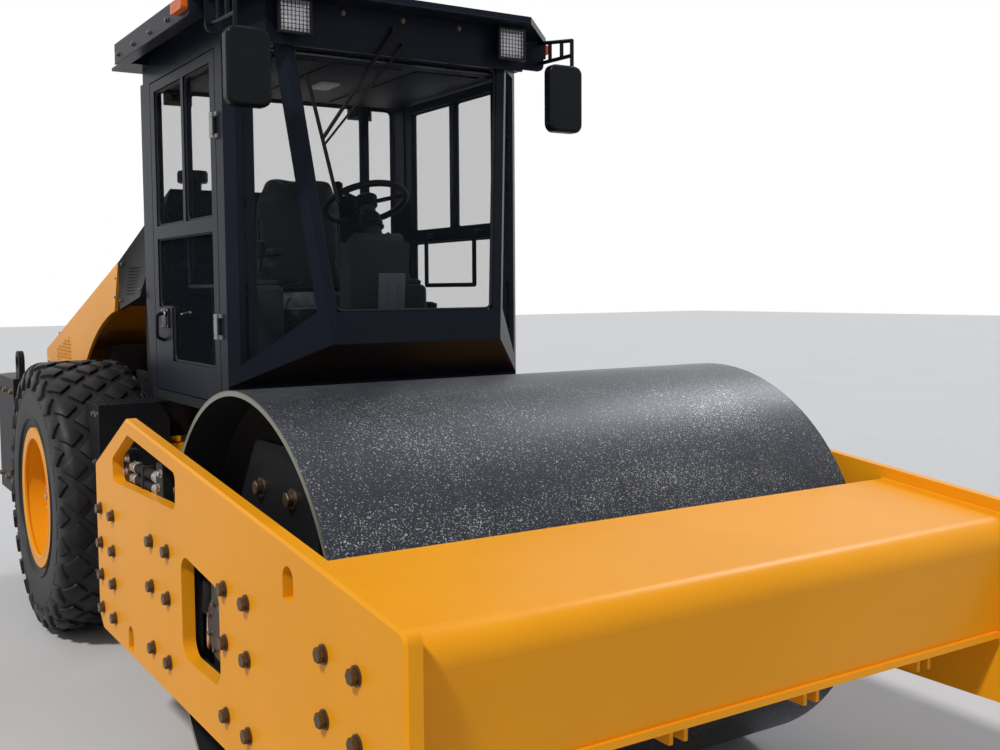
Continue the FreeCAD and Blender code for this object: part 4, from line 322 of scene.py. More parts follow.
def cloth_weave() -> Tree:
    """Plain cloth weave as a height and a tone.

    Returns:
        The group.
    """
    sh = Group("cloth_weave", ("Height", "Tone"), Threads=480.0)
    turns = sh.times(sh.entry["Threads"], math.tau)
    along, across, upward = (sh.math("SINE", sh.times(sh.axis(sh.place, index), turns)) for index in range(3))
    lines = sh.plus(sh.times(sh.times(along, across), 0.5), sh.times(sh.times(across, upward), 0.5))
    sh.feed(sh.leave["Height"], lines)
    sh.feed(sh.leave["Tone"], sh.noise(sh.place, 70.0, 4.0, 0.7))
    return sh.tree


EFFECTS = {"grime": grime_film, "peel": paint_peel, "scratches": scuff_lines, "speckle": steel_speckle,
           "weave": cloth_weave}


# Finishes

@dataclass(frozen=True)
class Patch:
    """A zone of a node that shows another finish, as limits on X, on how far out it lies, and on Z."""

    colour: Colour
    metal: float = 0.0
    roughness: float = 0.4
    x: tuple[float | None, float | None] = (None, None)
    out: tuple[float | None, float | None] = (None, None)
    z: tuple[float | None, float | None] = (None, None)

    def mask(self, on: Surface) -> Socket:
        """Mask of the zone.

        Args:
            on: the surface that it lies on.

        Returns:
            1 inside the zone and 0 outside it.
        """
        total: object = 1.0
        out = on.math("ABSOLUTE", on.axis(on.place, 1))
        for coordinate, (low, high) in ((on.axis(on.place, 0), self.x), (out, self.out),
                                        (on.axis(on.place, 2), self.z)):
            if low is not None:
                total = on.times(total, on.over(coordinate, low))
            if high is not None:
                total = on.times(total, on.math("LESS_THAN", coordinate, high))
        return total


@dataclass(frozen=True)
class Finish:
    """Base of every finish: its name, its base colour and the dust on it."""

    name: str
    colour: Colour
    roughness: float = 0.5
    dust: float = 0.2
    dust_colour: Colour = (0.30, 0.26, 0.21)

    def shade(self, factor: float, lift: float = 0.0) -> tuple[float, float, float, float]:
        """The base colour made darker or lighter."""
        return rgba(tuple(min(1.0, factor * part + lift) for part in self.colour))

    def drift(self, on: Surface, tone: object, span: tuple[float, float], factor: float) -> Socket:
        """The base colour, drifting to a factor of itself where a tone passes through a span."""
        return on.mix(on.ramp(tone, *span), rgba(self.colour), self.shade(factor))

    def dusty(self, on: Surface, base: object, fade: float) -> Socket:
        """A colour under this finish's dust, which is thickest below the fade height."""
        return on.mix(on.use("grime", Amount=self.dust, Fade=fade)["Mask"], base, rgba(self.dust_colour))

    def build(self, effects: dict[str, Tree]) -> bpy.types.Material:
        """Makes the material.

        Args:
            effects: the shared node groups by name.

        Returns:
            The finished material.
        """
        material = bpy.data.materials.new(self.name)
        self.dress(Surface(material, effects))
        return material

    def dress(self, on: Surface) -> None:
        """Adds this finish's own nodes."""
        raise NotImplementedError


@dataclass(frozen=True)
class Paint(Finish):
    """Sprayed paint over steel plate, with zones of other finishes."""

    metal: float = 0.0
    fade: float = 1.2
    shine: float = 0.5
    patches: tuple[Patch, ...] = ()

    def dress(self, on: Surface) -> None:
        """Colour drift, dust low down, light scuffs and peel.

        Args:
            on: the surface that it covers.
        """
        peel = on.use("peel", Strength=1.0)
        dust = on.use("grime", Amount=self.dust, Fade=self.fade)["Mask"]
        scuff = on.use("scratches", Amount=0.25)["Mask"]
        base = on.mix(on.ramp(peel["Tone"], 0.3, 0.7), self.shade(0.94), self.shade(1.04, 0.001))
        base = on.mix(scuff, base, self.shade(0.8, 0.04))
        rough = on.plus(self.roughness, on.times(dust, 0.35))
        rough = on.plus(rough, on.times(scuff, 0.2), clamp=True)
        metal: object = self.metal
        for patch in self.patches:
            mask = patch.mask(on)
            base = on.mix(mask, base, rgba(patch.colour))
            rough = on.blend(mask, rough, patch.roughness)
            metal = on.blend(mask, metal, patch.metal)
        on.show({"Base Color": on.mix(dust, base, rgba(self.dust_colour)), "Roughness": rough,
                 "Metallic": metal, "Specular IOR Level": self.shine})
        on.bump(peel["Height"], 0.12, 0.0015)


@dataclass(frozen=True)
class DrumSteel(Finish):
    """Rolled steel, near black, with pale dots painted on the rolling face as glints and a painted highlight on the rim
    at each end.
    """

    # Colour of the dots painted as glints of light.
    bright: Colour = (0.62, 0.63, 0.64)
    # Colour of the highlight painted on the rim at each end.
    edge: Colour = (0.20, 0.21, 0.165)
    inside: Colour = (0.012, 0.013, 0.016)
    axle: tuple[float, float] = (1.6, 0.775)
    radius: float = 0.775
    half: float = 1.065
    wall: float = 0.018

    def dress(self, on: Surface) -> None:
        """Painted glint dots and rolling bands on the outside, a painted highlight on the rim at each end and dark
        paint within.

        Args:
            on: the surface that it covers.
        """
        ahead = on.minus(on.axis(on.place, 0), self.axle[0])
        above = on.minus(on.axis(on.place, 2), self.axle[1])
        reach = on.math("SQRT", on.plus(on.times(ahead, ahead), on.times(above, above)))
        outer = on.over(reach, self.radius - 0.3 * self.wall)
        out = on.math("ABSOLUTE", on.axis(on.place, 1))
        # Painted highlight on the end face of the shell's rim.
        end = on.times(on.over(out, self.half - 0.0006), on.over(reach, self.radius - 1.3 * self.wall))
        # Pale dots painted on the rolling face as glints of light.
        glint_specks = on.times(on.use("speckle", Scale=270.0, Density=0.62)["Mask"], outer)
        bands = on.noise(on.scaled(on.place, (0.6, 26.0, 0.6)), 1.0, 4.0, 0.6)
        mottle = on.noise(on.place, 150.0, 4.0, 0.7)
        base = self.drift(on, on.plus(on.times(bands, 0.5), on.times(mottle, 0.5)), (0.35, 0.65), 1.5)
        base = self.dusty(on, on.mix(outer, rgba(self.inside), base), 3.0)
        base = on.mix(glint_specks, base, rgba(self.bright))
        rough = on.plus(self.roughness, on.times(mottle, 0.14))
        rough = on.minus(rough, on.times(glint_specks, 0.18), clamp=True)
        on.show({"Base Color": on.mix(end, base, rgba(self.edge)), "Roughness": rough,
                 "Metallic": on.times(outer, 0.6)})
        on.bump(on.times(on.plus(glint_specks, mottle), outer), 0.45, 0.0010)


@dataclass(frozen=True)
class BareSteel(Finish):
    """Turned or forged steel, as on bolts, pins and rods."""

    metal: float = 0.9
    film: Colour = (0.16, 0.11, 0.075)

    def dress(self, on: Surface) -> None:
        """Fine turning marks with brown films of oil and dust.

        Args:
            on: the surface that it covers.
        """
        marks = on.noise(on.scaled(on.place, (60.0, 900.0, 60.0)), 1.0, 3.0, 0.6)
        film = on.ramp(on.noise(on.place, 26.0, 4.0, 0.65), 0.4, 0.75)
        base = self.dusty(on, on.mix(film, rgba(self.colour), rgba(self.film)), 2.0)
        on.show({"Base Color": base, "Metallic": self.metal,
                 "Roughness": on.plus(self.roughness, on.times(marks, 0.2), clamp=True)})
        on.bump(marks, 0.15, 0.0004)


@dataclass(frozen=True)
class Rubber(Finish):
    """Tyre and hose rubber."""

    dust_colour: Colour = (0.16, 0.145, 0.125)

    def dress(self, on: Surface) -> None:
        """Black with a fine grain and dust in it.

        Args:
            on: the surface that it covers.
        """
        grain = on.noise(on.place, 320.0, 3.0, 0.7)
        patch = on.noise(on.place, 6.0, 5.0, 0.65)
        base = self.dusty(on, self.drift(on, patch, (0.3, 0.75), 1.6), 1.0)
        on.show({"Base Color": base, "Specular IOR Level": 0.24,
                 "Roughness": on.plus(self.roughness, on.times(grain, 0.18), clamp=True)})
        on.bump(on.plus(grain, on.times(patch, 0.6)), 0.22, 0.0006)


@dataclass(frozen=True)
class Plastic(Finish):
    """Moulded plastic with a fine leather grain, with zones of other finishes."""

    grain: float = 210.0
    shine: float = 0.4
    patches: tuple[Patch, ...] = ()

    def dress(self, on: Surface) -> None:
        """Cell grain, slight tone drift and a little dust.

        Args:
            on: the surface that it covers.
        """
        cells = on.node("ShaderNodeTexVoronoi", {"Vector": on.place, "Scale": self.grain},
                        feature="SMOOTH_F1").outputs[0]
        base = self.drift(on, on.noise(on.place, 4.0, 4.0, 0.6), (0.3, 0.7), 1.3)
        rough = on.plus(self.roughness, on.times(cells, 0.12), clamp=True)
        for patch in self.patches:
            mask = patch.mask(on)
            base = on.mix(mask, base, rgba(patch.colour))
            rough = on.blend(mask, rough, patch.roughness)
        on.show({"Base Color": self.dusty(on, base, 2.4), "Roughness": rough,
                 "Specular IOR Level": self.shine})
        on.bump(cells, 0.14, 0.0004)


@dataclass(frozen=True)
class Glazing(Finish):
    """Tinted safety glass, seen through, a little denser towards its edges."""

    alpha: float = 0.3

    def dress(self, on: Surface) -> None:
        """Dark tint with faint smears.

        Args:
            on: the surface that it covers.
        """
        smear = on.noise(on.place, 5.0, 3.0, 0.6)
        edge = on.node("ShaderNodeLayerWeight", {"Blend": 0.18}).outputs["Facing"]
        on.show({"Base Color": self.dusty(on, rgba(self.colour), 1.9),
                 "Roughness": on.plus(self.roughness, on.times(smear, 0.04)),
                 "Alpha": on.plus(self.alpha, on.times(edge, 0.06), clamp=True), "Specular IOR Level": 0.0})


@dataclass(frozen=True)
class Lens(Finish):
    """Ribbed clear or coloured lamp glass over a reflector."""

    ribs: float = 130.0
    metal: float = 0.25

    def dress(self, on: Surface) -> None:
        """Upright flutes crossed by finer rows, with a painted highlight on the crests and painted shade in the
        troughs.

        Args:
            on: the surface that it covers.
        """
        flutes = on.math("SINE", on.times(on.axis(on.place, 1), self.ribs * math.tau))
        rows = on.math("SINE", on.times(on.axis(on.place, 2), self.ribs * 0.6 * math.tau))
        both = on.plus(flutes, on.times(rows, 0.5))
        # Base colour: painted highlight on the crests, painted shade in the troughs.
        on.show({"Base Color": on.mix(on.ramp(both, -1.0, 1.2), self.shade(0.5), rgba(self.colour)),
                 "Roughness": on.plus(self.roughness, on.times(on.noise(on.place, 60.0), 0.08)),
                 "Coat Weight": 0.6, "Metallic": self.metal})
        on.bump(both, 0.4, 0.0015)


@dataclass(frozen=True)
class Cloth(Finish):
    """Woven seat cloth."""

    threads: float = 420.0

    def dress(self, on: Surface) -> None:
        """Weave in height and tone, with sheen.

        Args:
            on: the surface that it covers.
        """
        weave = on.use("weave", Threads=self.threads)
        base = self.drift(on, on.plus(on.times(weave["Height"], 0.3), weave["Tone"]), (0.2, 0.85), 2.0)
        on.show({"Base Color": self.dusty(on, base, 3.0), "Sheen Weight": 0.3,
                 "Roughness": on.plus(self.roughness, on.times(weave["Tone"], 0.15), clamp=True)})
        on.bump(weave["Height"], 0.35, 0.0006)


BOLT_BROWN: Colour = (0.115, 0.075, 0.042)
HINGE_GREY: Colour = (0.30, 0.30, 0.31)
YELLOW: Colour = (0.84, 0.335, 0.007)
AMBER: Colour = (0.78, 0.14, 0.008)
NEAR_BLACK: Colour = (0.008, 0.008, 0.010)
FINISHES: dict[str, Finish] = {finish.name: finish for finish in (
    Paint("frame_yellow", YELLOW, 0.34, dust=0.03, fade=0.9, shine=0.14),
    Paint("plate_yellow", YELLOW, 0.34, dust=0.03, fade=0.9, shine=0.14,
          patches=(Patch(BOLT_BROWN, 0.75, 0.34, out=(1.2034, None)),)),
    Paint("cab_paint", (0.009, 0.012, 0.020), 0.30, dust=0.02, fade=1.6, shine=0.05,
          patches=(Patch(HINGE_GREY, 0.8, 0.35, x=(0.45, 0.60), out=(0.7288, None), z=(1.5, 2.7)),)),
    Paint("dark_paint", (0.010, 0.011, 0.014), 0.42, dust=0.06, shine=0.07),
    Paint("motor_grey", (0.03, 0.032, 0.036), 0.4, dust=0.12, fade=1.0, shine=0.3),
    Paint("engine_iron", (0.10, 0.11, 0.12), 0.55, dust=0.25, metal=0.3, fade=2.0, shine=0.4),
    DrumSteel("drum_steel", (0.017, 0.020, 0.027), 0.34, dust=0.01),
    BareSteel("bare_steel", (0.46, 0.45, 0.43), 0.26, dust=0.08),
    BareSteel("bolt_steel", (0.20, 0.145, 0.10), 0.34, dust=0.05, film=(0.10, 0.065, 0.04)),
    BareSteel("bright_bolt", (0.55, 0.55, 0.54), 0.24, dust=0.04, film=(0.36, 0.33, 0.29)),
    BareSteel("chrome_rod", (0.72, 0.72, 0.72), 0.08, dust=0.02, metal=1.0, film=(0.6, 0.6, 0.6)),
    Rubber("tyre_rubber", (0.0075, 0.0078, 0.009), 0.40, dust=0.07),
    Rubber("seal_rubber", (0.006, 0.006, 0.007), 0.5, dust=0.06),
    Plastic("black_plastic", NEAR_BLACK, 0.40, dust=0.04, shine=0.07),
    Plastic("lamp_body", NEAR_BLACK, 0.40, dust=0.03, shine=0.15, patches=(
        Patch(AMBER, 0.0, 0.22, out=(0.8755, None), z=(2.9, None)),
        Patch((0.42, 0.008, 0.008), 0.0, 0.22, x=(None, -2.9)))),
    Plastic("grey_plastic", (0.020, 0.022, 0.027), 0.5, dust=0.03, shine=0.15),
    Plastic("pale_panel", (0.10, 0.105, 0.12), 0.5, dust=0.03, shine=0.2),
    Plastic("white_plastic", (0.50, 0.50, 0.49), 0.4, dust=0.03, shine=0.3),
    Plastic("gloss_black", (0.005, 0.006, 0.008), 0.22, dust=0.01, shine=0.10),
    Glazing("cab_glass", (0.022, 0.028, 0.036), 0.02, dust=0.0, alpha=0.14),
    BareSteel("mirror_glass", (0.80, 0.82, 0.84), 0.02, dust=0.0, metal=1.0, film=(0.78, 0.80, 0.82)),
    Lens("clear_lens", (0.66, 0.67, 0.69), 0.16),
    Lens("amber_lens", AMBER, 0.22, ribs=90.0, metal=0.0),
    Lens("red_lens", (0.45, 0.008, 0.008), 0.22, ribs=90.0, metal=0.0),
    Cloth("seat_cloth", (0.02, 0.021, 0.024), 0.85, dust=0.04),
    Cloth("seat_piping", (0.05, 0.052, 0.058), 0.7, dust=0.04, threads=260.0),
)}

# Finish of each node that shows as it comes from the frame, by its record slot or by its own name.
NODE_FINISH = {
    "rubber": "tyre_rubber", "pane": "cab_glass", "trim": "black_plastic", "lens": "clear_lens",
    "console_grey": "grey_plastic", "steer_rod_left": "chrome_rod", "steer_rod_right": "chrome_rod",
    "lamps": "lamp_body", "side_plate_left": "plate_yellow", "side_plate_right": "plate_yellow",
    "mirrors": "gloss_black",
}


class Workshop:
    """Keeps the finishes and turns meshes into pieces of the machine."""

    def __init__(self, frame: dict) -> None:
        """Builds the shared effects and every finish.

        Args:
            frame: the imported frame.
        """
        effects = {name: make() for name, make in EFFECTS.items()}
        self.frame = frame
        self.materials = {name: finish.build(effects) for name, finish in FINISHES.items()}

    def dress_nodes(self) -> None:
        """Gives each node of the frame its finish."""
        slots = {row["node"]: row["material_slot"] for row in self.frame["record"]["subparts"]}
        for name, thing in self.frame["nodes"].items():
            finish = NODE_FINISH.get(name, NODE_FINISH.get(slots[name], slots[name]))
            thing.data.materials.clear()
            thing.data.materials.append(self.materials[finish])

    def piece(self, name: str, mesh: Mesh, finish: str, body: Part | str,
              crease: float = 32.0, replaces: tuple[str, ...] = ()) -> bpy.types.Object:
        """Finishes a mesh as a piece that rides on a body.

        Args:
            name: the piece's name.
            mesh: the mesh, in the machine's own coordinates.
            finish: name of its finish.
            body: the body that it moves with.
            crease: edges sharper than this, in degrees, stay sharp.
            replaces: nodes of the frame that it stands for.

        Returns:
            The new object.
        """
        bmesh.ops.remove_doubles(mesh, verts=mesh.verts, dist=1e-6)
        bmesh.ops.recalc_face_normals(mesh, faces=mesh.faces)
        limit = math.radians(crease)
        for face in mesh.faces:
            face.smooth = True
        for edge in mesh.edges:
            if len(edge.link_faces) == 2:
                edge.smooth = edge.calc_face_angle(0.0) < limit
        loose = sum(len(edge.link_faces) != 2 for edge in mesh.edges)
        if loose:
            LOG.warning("piece %s has %d open edges", name, loose)
        data = bpy.data.meshes.new(name)
        mesh.to_mesh(data)
        mesh.free()
        data.materials.append(self.materials[finish])
        thing = bpy.data.objects.new(name, data)
        bpy.context.scene.collection.objects.link(thing)
        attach(thing, body.value if isinstance(body, Part) else body)
        if replaces:
            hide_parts(*replaces)
        LOG.info("piece %s: %d faces", name, len(data.polygons))
        return thing


# Shapes

def verts_of(made: dict) -> list[bmesh.types.BMVert]:
    """The vertices among an operator's results."""
    return [item for item in made.get("geom", made.get("verts", [])) if isinstance(item, bmesh.types.BMVert)]


def bevel_sharp(mesh: Mesh, width: float, segments: int = 2, angle: float = 30.0) -> None:
    """Rounds the sharp edges of a mesh.

    Args:
        mesh: the mesh.
        width: how far the rounding reaches from the edge.
        segments: faces across it.
        angle: edges sharper than this, in degrees, are rounded.
    """
    limit = math.radians(angle)
    edges = [edge for edge in mesh.edges if len(edge.link_faces) == 2 and edge.calc_face_angle(0.0) > limit]
    bmesh.ops.bevel(mesh, geom=edges, offset=width, segments=segments, profile=0.5, affect="EDGES", material=-1,
                    clamp_overlap=True)


def join(mesh: Mesh, own: Mesh, place: Matrix | None = None) -> None:
    """Adds one mesh to another, moved if asked, and frees it."""
    if place is not None:
        bmesh.ops.transform(own, matrix=place, verts=own.verts)
        if place.determinant() < 0:
            bmesh.ops.reverse_faces(own, faces=own.faces)
    held = bpy.data.meshes.new("held")
    own.to_mesh(held)
    own.free()
    mesh.from_mesh(held)
    bpy.data.meshes.remove(held)


def aim(place: Point, direction: Point | Vector, spin: float = 0.0) -> Matrix:
    """A place whose +Z looks along a direction, spun about it."""
    turn = Vector(direction).to_track_quat("Z", "Y").to_matrix().to_4x4()
    return Matrix.Translation(place) @ turn @ Matrix.Rotation(spin, 4, "Z")


def add_block(mesh: Mesh, low: Point, high: Point, round_off: float = 0.0, segments: int = 2,
              place: Matrix | None = None) -> None:
    """Adds a block between two corners, with rounded edges if asked."""
    own = bmesh.new()
    bmesh.ops.create_cube(own, size=1.0)
    bmesh.ops.scale(own, vec=Vector(high) - Vector(low), verts=own.verts)
    bmesh.ops.translate(own, vec=(Vector(low) + Vector(high)) / 2, verts=own.verts)
    if round_off:
        bevel_sharp(own, round_off, segments)
    join(mesh, own, place)


def add_prism(mesh: Mesh, outline: list[Point], push: Point, round_off: float = 0.0,
              segments: int = 2) -> None:
    """Adds a flat outline pushed out into a prism."""
    own = bmesh.new()
    face = own.faces.new([own.verts.new(point) for point in outline])
    pushed = bmesh.ops.extrude_face_region(own, geom=[face], use_keep_orig=True)
    bmesh.ops.translate(own, vec=push, verts=verts_of(pushed))
    bmesh.ops.recalc_face_normals(own, faces=own.faces)
    if round_off:
        bevel_sharp(own, round_off, segments)
    join(mesh, own)


def add_round(mesh: Mesh, start: Point, end: Point, radius: float, end_radius: float | None = None,
              segments: int = 24, round_off: float = 0.0) -> None:
    """Adds a round bar or cone between two points."""
    own = bmesh.new()
    run = Vector(end) - Vector(start)
    top = radius if end_radius is None else end_radius
    bmesh.ops.create_cone(own, cap_ends=True, segments=segments, radius1=radius, radius2=top, depth=run.length)
    if round_off:
        bevel_sharp(own, round_off, 2, 50.0)
    join(mesh, own, aim((Vector(start) + Vector(end)) / 2, run))


def add_lathe(mesh: Mesh, profile: list[tuple[float, float]], place: Matrix, steps: int = 48,
              closed: bool = False) -> None:
    """Adds an outline turned about the +Z of a place.

    Args:
        mesh: the mesh that it joins.
        profile: (along the axis, radius) points.
        place: where the axis starts and looks.
        steps: faces round the turn.
        closed: whether the outline's end meets its start.
    """
    own = bmesh.new()
    points = [own.verts.new((radius, 0.0, along)) for along, radius in profile]
    pairs = list(zip(points, points[1:]))
    if closed:
        pairs.append((points[-1], points[0]))
    edges = [own.edges.new(pair) for pair in pairs]
    bmesh.ops.spin(own, geom=points + edges, cent=(0, 0, 0), axis=(0, 0, 1), angle=math.tau, steps=steps,
                   use_merge=True, use_duplicate=False)
    bmesh.ops.remove_doubles(own, verts=own.verts, dist=1e-6)
    bmesh.ops.recalc_face_normals(own, faces=own.faces)
    join(mesh, own, place)


def add_tube(mesh: Mesh, path: list[Point], radius: float, segments: int = 10,
             closed: bool = False) -> None:
    """Adds a round tube along a path, with each bend mitred.

    Args:
        mesh: the mesh that it joins.
        path: the middle of the tube, a closed one starting halfway along a straight run.
        radius: radius of the tube.
        segments: faces round the tube.
        closed: whether the tube's end meets its start.
    """
    own = bmesh.new()
    points = [Vector(point) for point in path]
    if closed:
        points.append(points[0])
    runs = [(after - before).normalized() for before, after in zip(points, points[1:])]
    start = bmesh.ops.create_circle(own, cap_ends=False, segments=segments, radius=radius)["verts"]
    bmesh.ops.transform(own, matrix=aim(points[0], runs[0]), verts=start)
    ring = list({edge for vert in start for edge in vert.link_edges})
    for index in range(1, len(points)):
        moved = verts_of(pushed := bmesh.ops.extrude_edge_only(own, edges=ring))
        ring = [item for item in pushed["geom"] if isinstance(item, bmesh.types.BMEdge)]
        run = runs[index - 1]
        ahead = runs[index] if index < len(runs) else run
        across = (run + ahead).normalized()
        for vert in moved:
            vert.co += points[index] - points[index - 1]
            vert.co -= run * ((vert.co - points[index]).dot(across) / max(run.dot(across), 0.2))
    if closed:
        for vert in moved:
            vert.co = min((item.co for item in start), key=lambda spot: (spot - vert.co).length)
        bmesh.ops.remove_doubles(own, verts=own.verts, dist=1e-6)
    else:
        bmesh.ops.holes_fill(own, edges=own.edges[:], sides=0)
    bmesh.ops.recalc_face_normals(own, faces=own.faces)
    join(mesh, own)


def curved(points: list[Point], radius: float, steps: int = 5, closed: bool = False) -> list[Point]:
    """The same path with each corner rounded.

    Args:
        points: corners of the path.
        radius: about how far each bend reaches.
        steps: points in each bend.
        closed: whether the path returns to its start; it then starts halfway along its last run.

    Returns:
        The points of the rounded path.
    """
    line = [Vector(point) for point in points]
    if closed:
        middle = (line[-1] + line[0]) / 2
        line = [middle] + line + [middle]
    path = [line[0]]
    for before, corner, after in zip(line, line[1:], line[2:]):
        back = before - corner
        ahead = after - corner
        reach = min(radius, back.length * 0.45, ahead.length * 0.45)
        start = corner + back.normalized() * reach
        end = corner + ahead.normalized() * reach
        for step in range(steps + 1):
            share = step / steps
            path.append(start.lerp(corner, share).lerp(corner.lerp(end, share), share))
    if not closed:
        path.append(line[-1])
    return [tuple(point) for point in path]


def add_bolt(mesh: Mesh, place: Matrix, across: float, height: float, washer: float) -> None:
    """Adds a hex bolt head with its washer, standing along the +Z of its place."""
    own = bmesh.new()
    thin = height * 0.22
    bmesh.ops.create_cone(own, cap_ends=True, segments=20, radius1=washer, radius2=washer * 0.96, depth=thin)
    bmesh.ops.translate(own, vec=(0, 0, thin / 2), verts=own.verts)
    head = bmesh.new()
    bmesh.ops.create_cone(head, cap_ends=True, segments=6, radius1=across / math.sqrt(3),
                          radius2=across / math.sqrt(3), depth=height - thin)
    bevel_sharp(head, height * 0.09, 1)
    bmesh.ops.translate(head, vec=(0, 0, (height + thin) / 2), verts=head.verts)
    join(own, head)
    join(mesh, own, place)


def add_bolts(mesh: Mesh, spots: list[Point], direction: Point, across: float) -> None:
    """Adds like bolts at points, each turned a little further than the last."""
    for number, spot in enumerate(spots):
        add_bolt(mesh, aim(spot, direction, 0.7 * number), across, across * 0.62, across * 0.78)


def circle_spots(centre: Point, radius: float, count: int, start: float = 0.0) -> list[Point]:
    """Points round a circle that faces along Y."""
    return [(centre[0] + radius * math.cos(start + math.tau * step / count), centre[1],
             centre[2] + radius * math.sin(start + math.tau * step / count)) for step in range(count)]


@dataclass
class Trim:
    """Base of the sub-assemblies, which keeps the workshop that makes their pieces."""

    shop: Workshop

    def piece(self, name: str, mesh: Mesh, finish: str, body: Part | str, **more: object) -> bpy.types.Object:
        """Makes a piece in the workshop."""
        return self.shop.piece(name, mesh, finish, body, **more)


@dataclass
class SideTrim(Trim):
    """Base of the sub-assemblies that each side of the machine has."""

    side: Side

    @property
    def sign(self) -> int:
        """-1 on the right and 1 on the left."""
        return self.side.value

    def piece(self, name: str, mesh: Mesh, finish: str, body: Part | str, **more: object) -> bpy.types.Object:
        """Makes a piece with the side's word after its name."""
        return super().piece(f"{name}_{self.side.word}", mesh, finish, body, **more)


# Wheels and drum

@dataclass
class Tyre(SideTrim):
    """Wide earthmover tyre with diamond tread blocks that wrap round its shoulders."""

    axle_x: float = -1.357
    centre_y: float = 0.9
    radius: float = 0.748
    half: float = 0.26
    bead: float = 0.352
    tread: float = 0.016
    diagonal: float = 0.127
    across: float = 0.0925
    count: int = 27
    columns: tuple[int, ...] = (-3, -2, -1, 0, 1, 2, 3)

    def section(self) -> list[tuple[float, float]]:
        """(along the axle, radius) points of the carcass from the crown's middle to the bead."""
        crown = self.radius - self.tread
        half = self.half
        return [(0.0, crown), (0.12, crown - 0.001), (0.185, crown - 0.004), (0.212, crown - 0.010),
                (0.232, crown - 0.024), (0.244, crown - 0.046), (0.250, crown - 0.075), (half - 0.003, 0.62),
                (half, 0.54), (half - 0.003, 0.47), (half - 0.012, self.bead + 0.066),
                (half - 0.030, self.bead + 0.020), (half - 0.038, self.bead)]

    def carcass(self, mesh: Mesh, place: Matrix) -> None:
        """Adds the body of the tyre as one turned outline, with a rib above the bead."""
        side = self.section()
        profile = [(-along, radius) for along, radius in side[::-1]] + side[1:]
        add_lathe(mesh, profile, place, steps=108, closed=True)
        for sign in (-1, 1):
            for radius, thick in ((self.bead + 0.085, 0.0035), (self.bead + 0.235, 0.0025)):
                rib = [(sign * (self.half - 0.016), radius - 0.010), (sign * (self.half - 0.002 + thick), radius),
                       (sign * (self.half - 0.016), radius + 0.010)]
                add_lathe(mesh, rib, place, steps=96, closed=True)

    def on_section(self, reach: float, height: float) -> tuple[float, float]:
        """Place on the carcass.

        Args:
            reach: how far from the crown's middle, measured over the carcass.
            height: how far over it.

        Returns:
            The place along the axle and its radius.
        """
        left = abs(reach)
        points = self.section()
        for (y0, r0), (y1, r1) in zip(points, points[1:]):
            length = math.hypot(y1 - y0, r1 - r0)
            if left <= length or (y1, r1) == points[-1]:
                share = left / length
                along = y0 + (y1 - y0) * share - height * (r1 - r0) / length
                radius = r0 + (r1 - r0) * share + height * (y1 - y0) / length
                return math.copysign(along, reach or 1.0), radius
            left -= length
        return 0.0, self.radius

    def block(self, outer: bool) -> Mesh:
        """One tread block as a flat diamond pad with rounded top edges, X along the tread."""
        own = bmesh.new()
        half = self.diagonal / 2
        bmesh.ops.create_circle(own, cap_ends=True, segments=4, radius=half)
        pushed = bmesh.ops.extrude_face_region(own, geom=own.faces[:], use_keep_orig=True)
        top = verts_of(pushed)
        bmesh.ops.translate(own, vec=(0, 0, self.tread), verts=top)
        bmesh.ops.scale(own, vec=(0.95, 0.95, 1.0), verts=top)
        bmesh.ops.recalc_face_normals(own, faces=own.faces)
        edges = [edge for edge in own.edges if edge.verts[0].co.z + edge.verts[1].co.z > self.tread]
        bmesh.ops.bevel(own, geom=edges, offset=0.0042, segments=2, profile=0.5, affect="EDGES", material=-1,
                        clamp_overlap=True)
        cuts = [0.0] if not outer else [-0.5 * half, 0.0, 0.3 * half, 0.6 * half]
        for cut in cuts:
            bmesh.ops.bisect_plane(own, geom=own.verts[:] + own.edges[:] + own.faces[:], plane_co=(0, cut, 0),
                                   plane_no=(0, 1, 0))
        return own

    def blocks(self, mesh: Mesh, place: Matrix) -> None:
        """Adds the rows of blocks round the crown and over the shoulders."""
        for column in self.columns:
            outer = abs(column) >= 2
            model = self.block(outer)
            if column < 0:
                bmesh.ops.rotate(model, cent=(0, 0, 0), matrix=Matrix.Rotation(math.pi, 3, "Z"), verts=model.verts)
            offset = column * self.across + math.copysign(0.008, column) * (abs(column) == 3)
            for index in range(self.count):
                angle = math.tau * (index + 0.5 * (column % 2)) / self.count
                own = model.copy()
                for vert in own.verts:
                    along, radius = self.on_section(offset + vert.co.y, vert.co.z)
                    turn = angle + vert.co.x / (self.radius - 0.5 * self.tread)
                    vert.co = (radius * math.cos(turn), radius * math.sin(turn), along)
                bmesh.ops.recalc_face_normals(own, faces=own.faces)
                join(mesh, own, place)
            model.free()

    def build(self) -> None:
        """Makes the tyre of one side."""
        mesh = bmesh.new()
        place = aim((self.axle_x, self.sign * self.centre_y, self.radius), (0, 1, 0))
        self.carcass(mesh, place)
        self.blocks(mesh, place)
        self.piece("tyre_tread", mesh, "tyre_rubber", self.side.wheel, replaces=("tyre_" + self.side.word,))


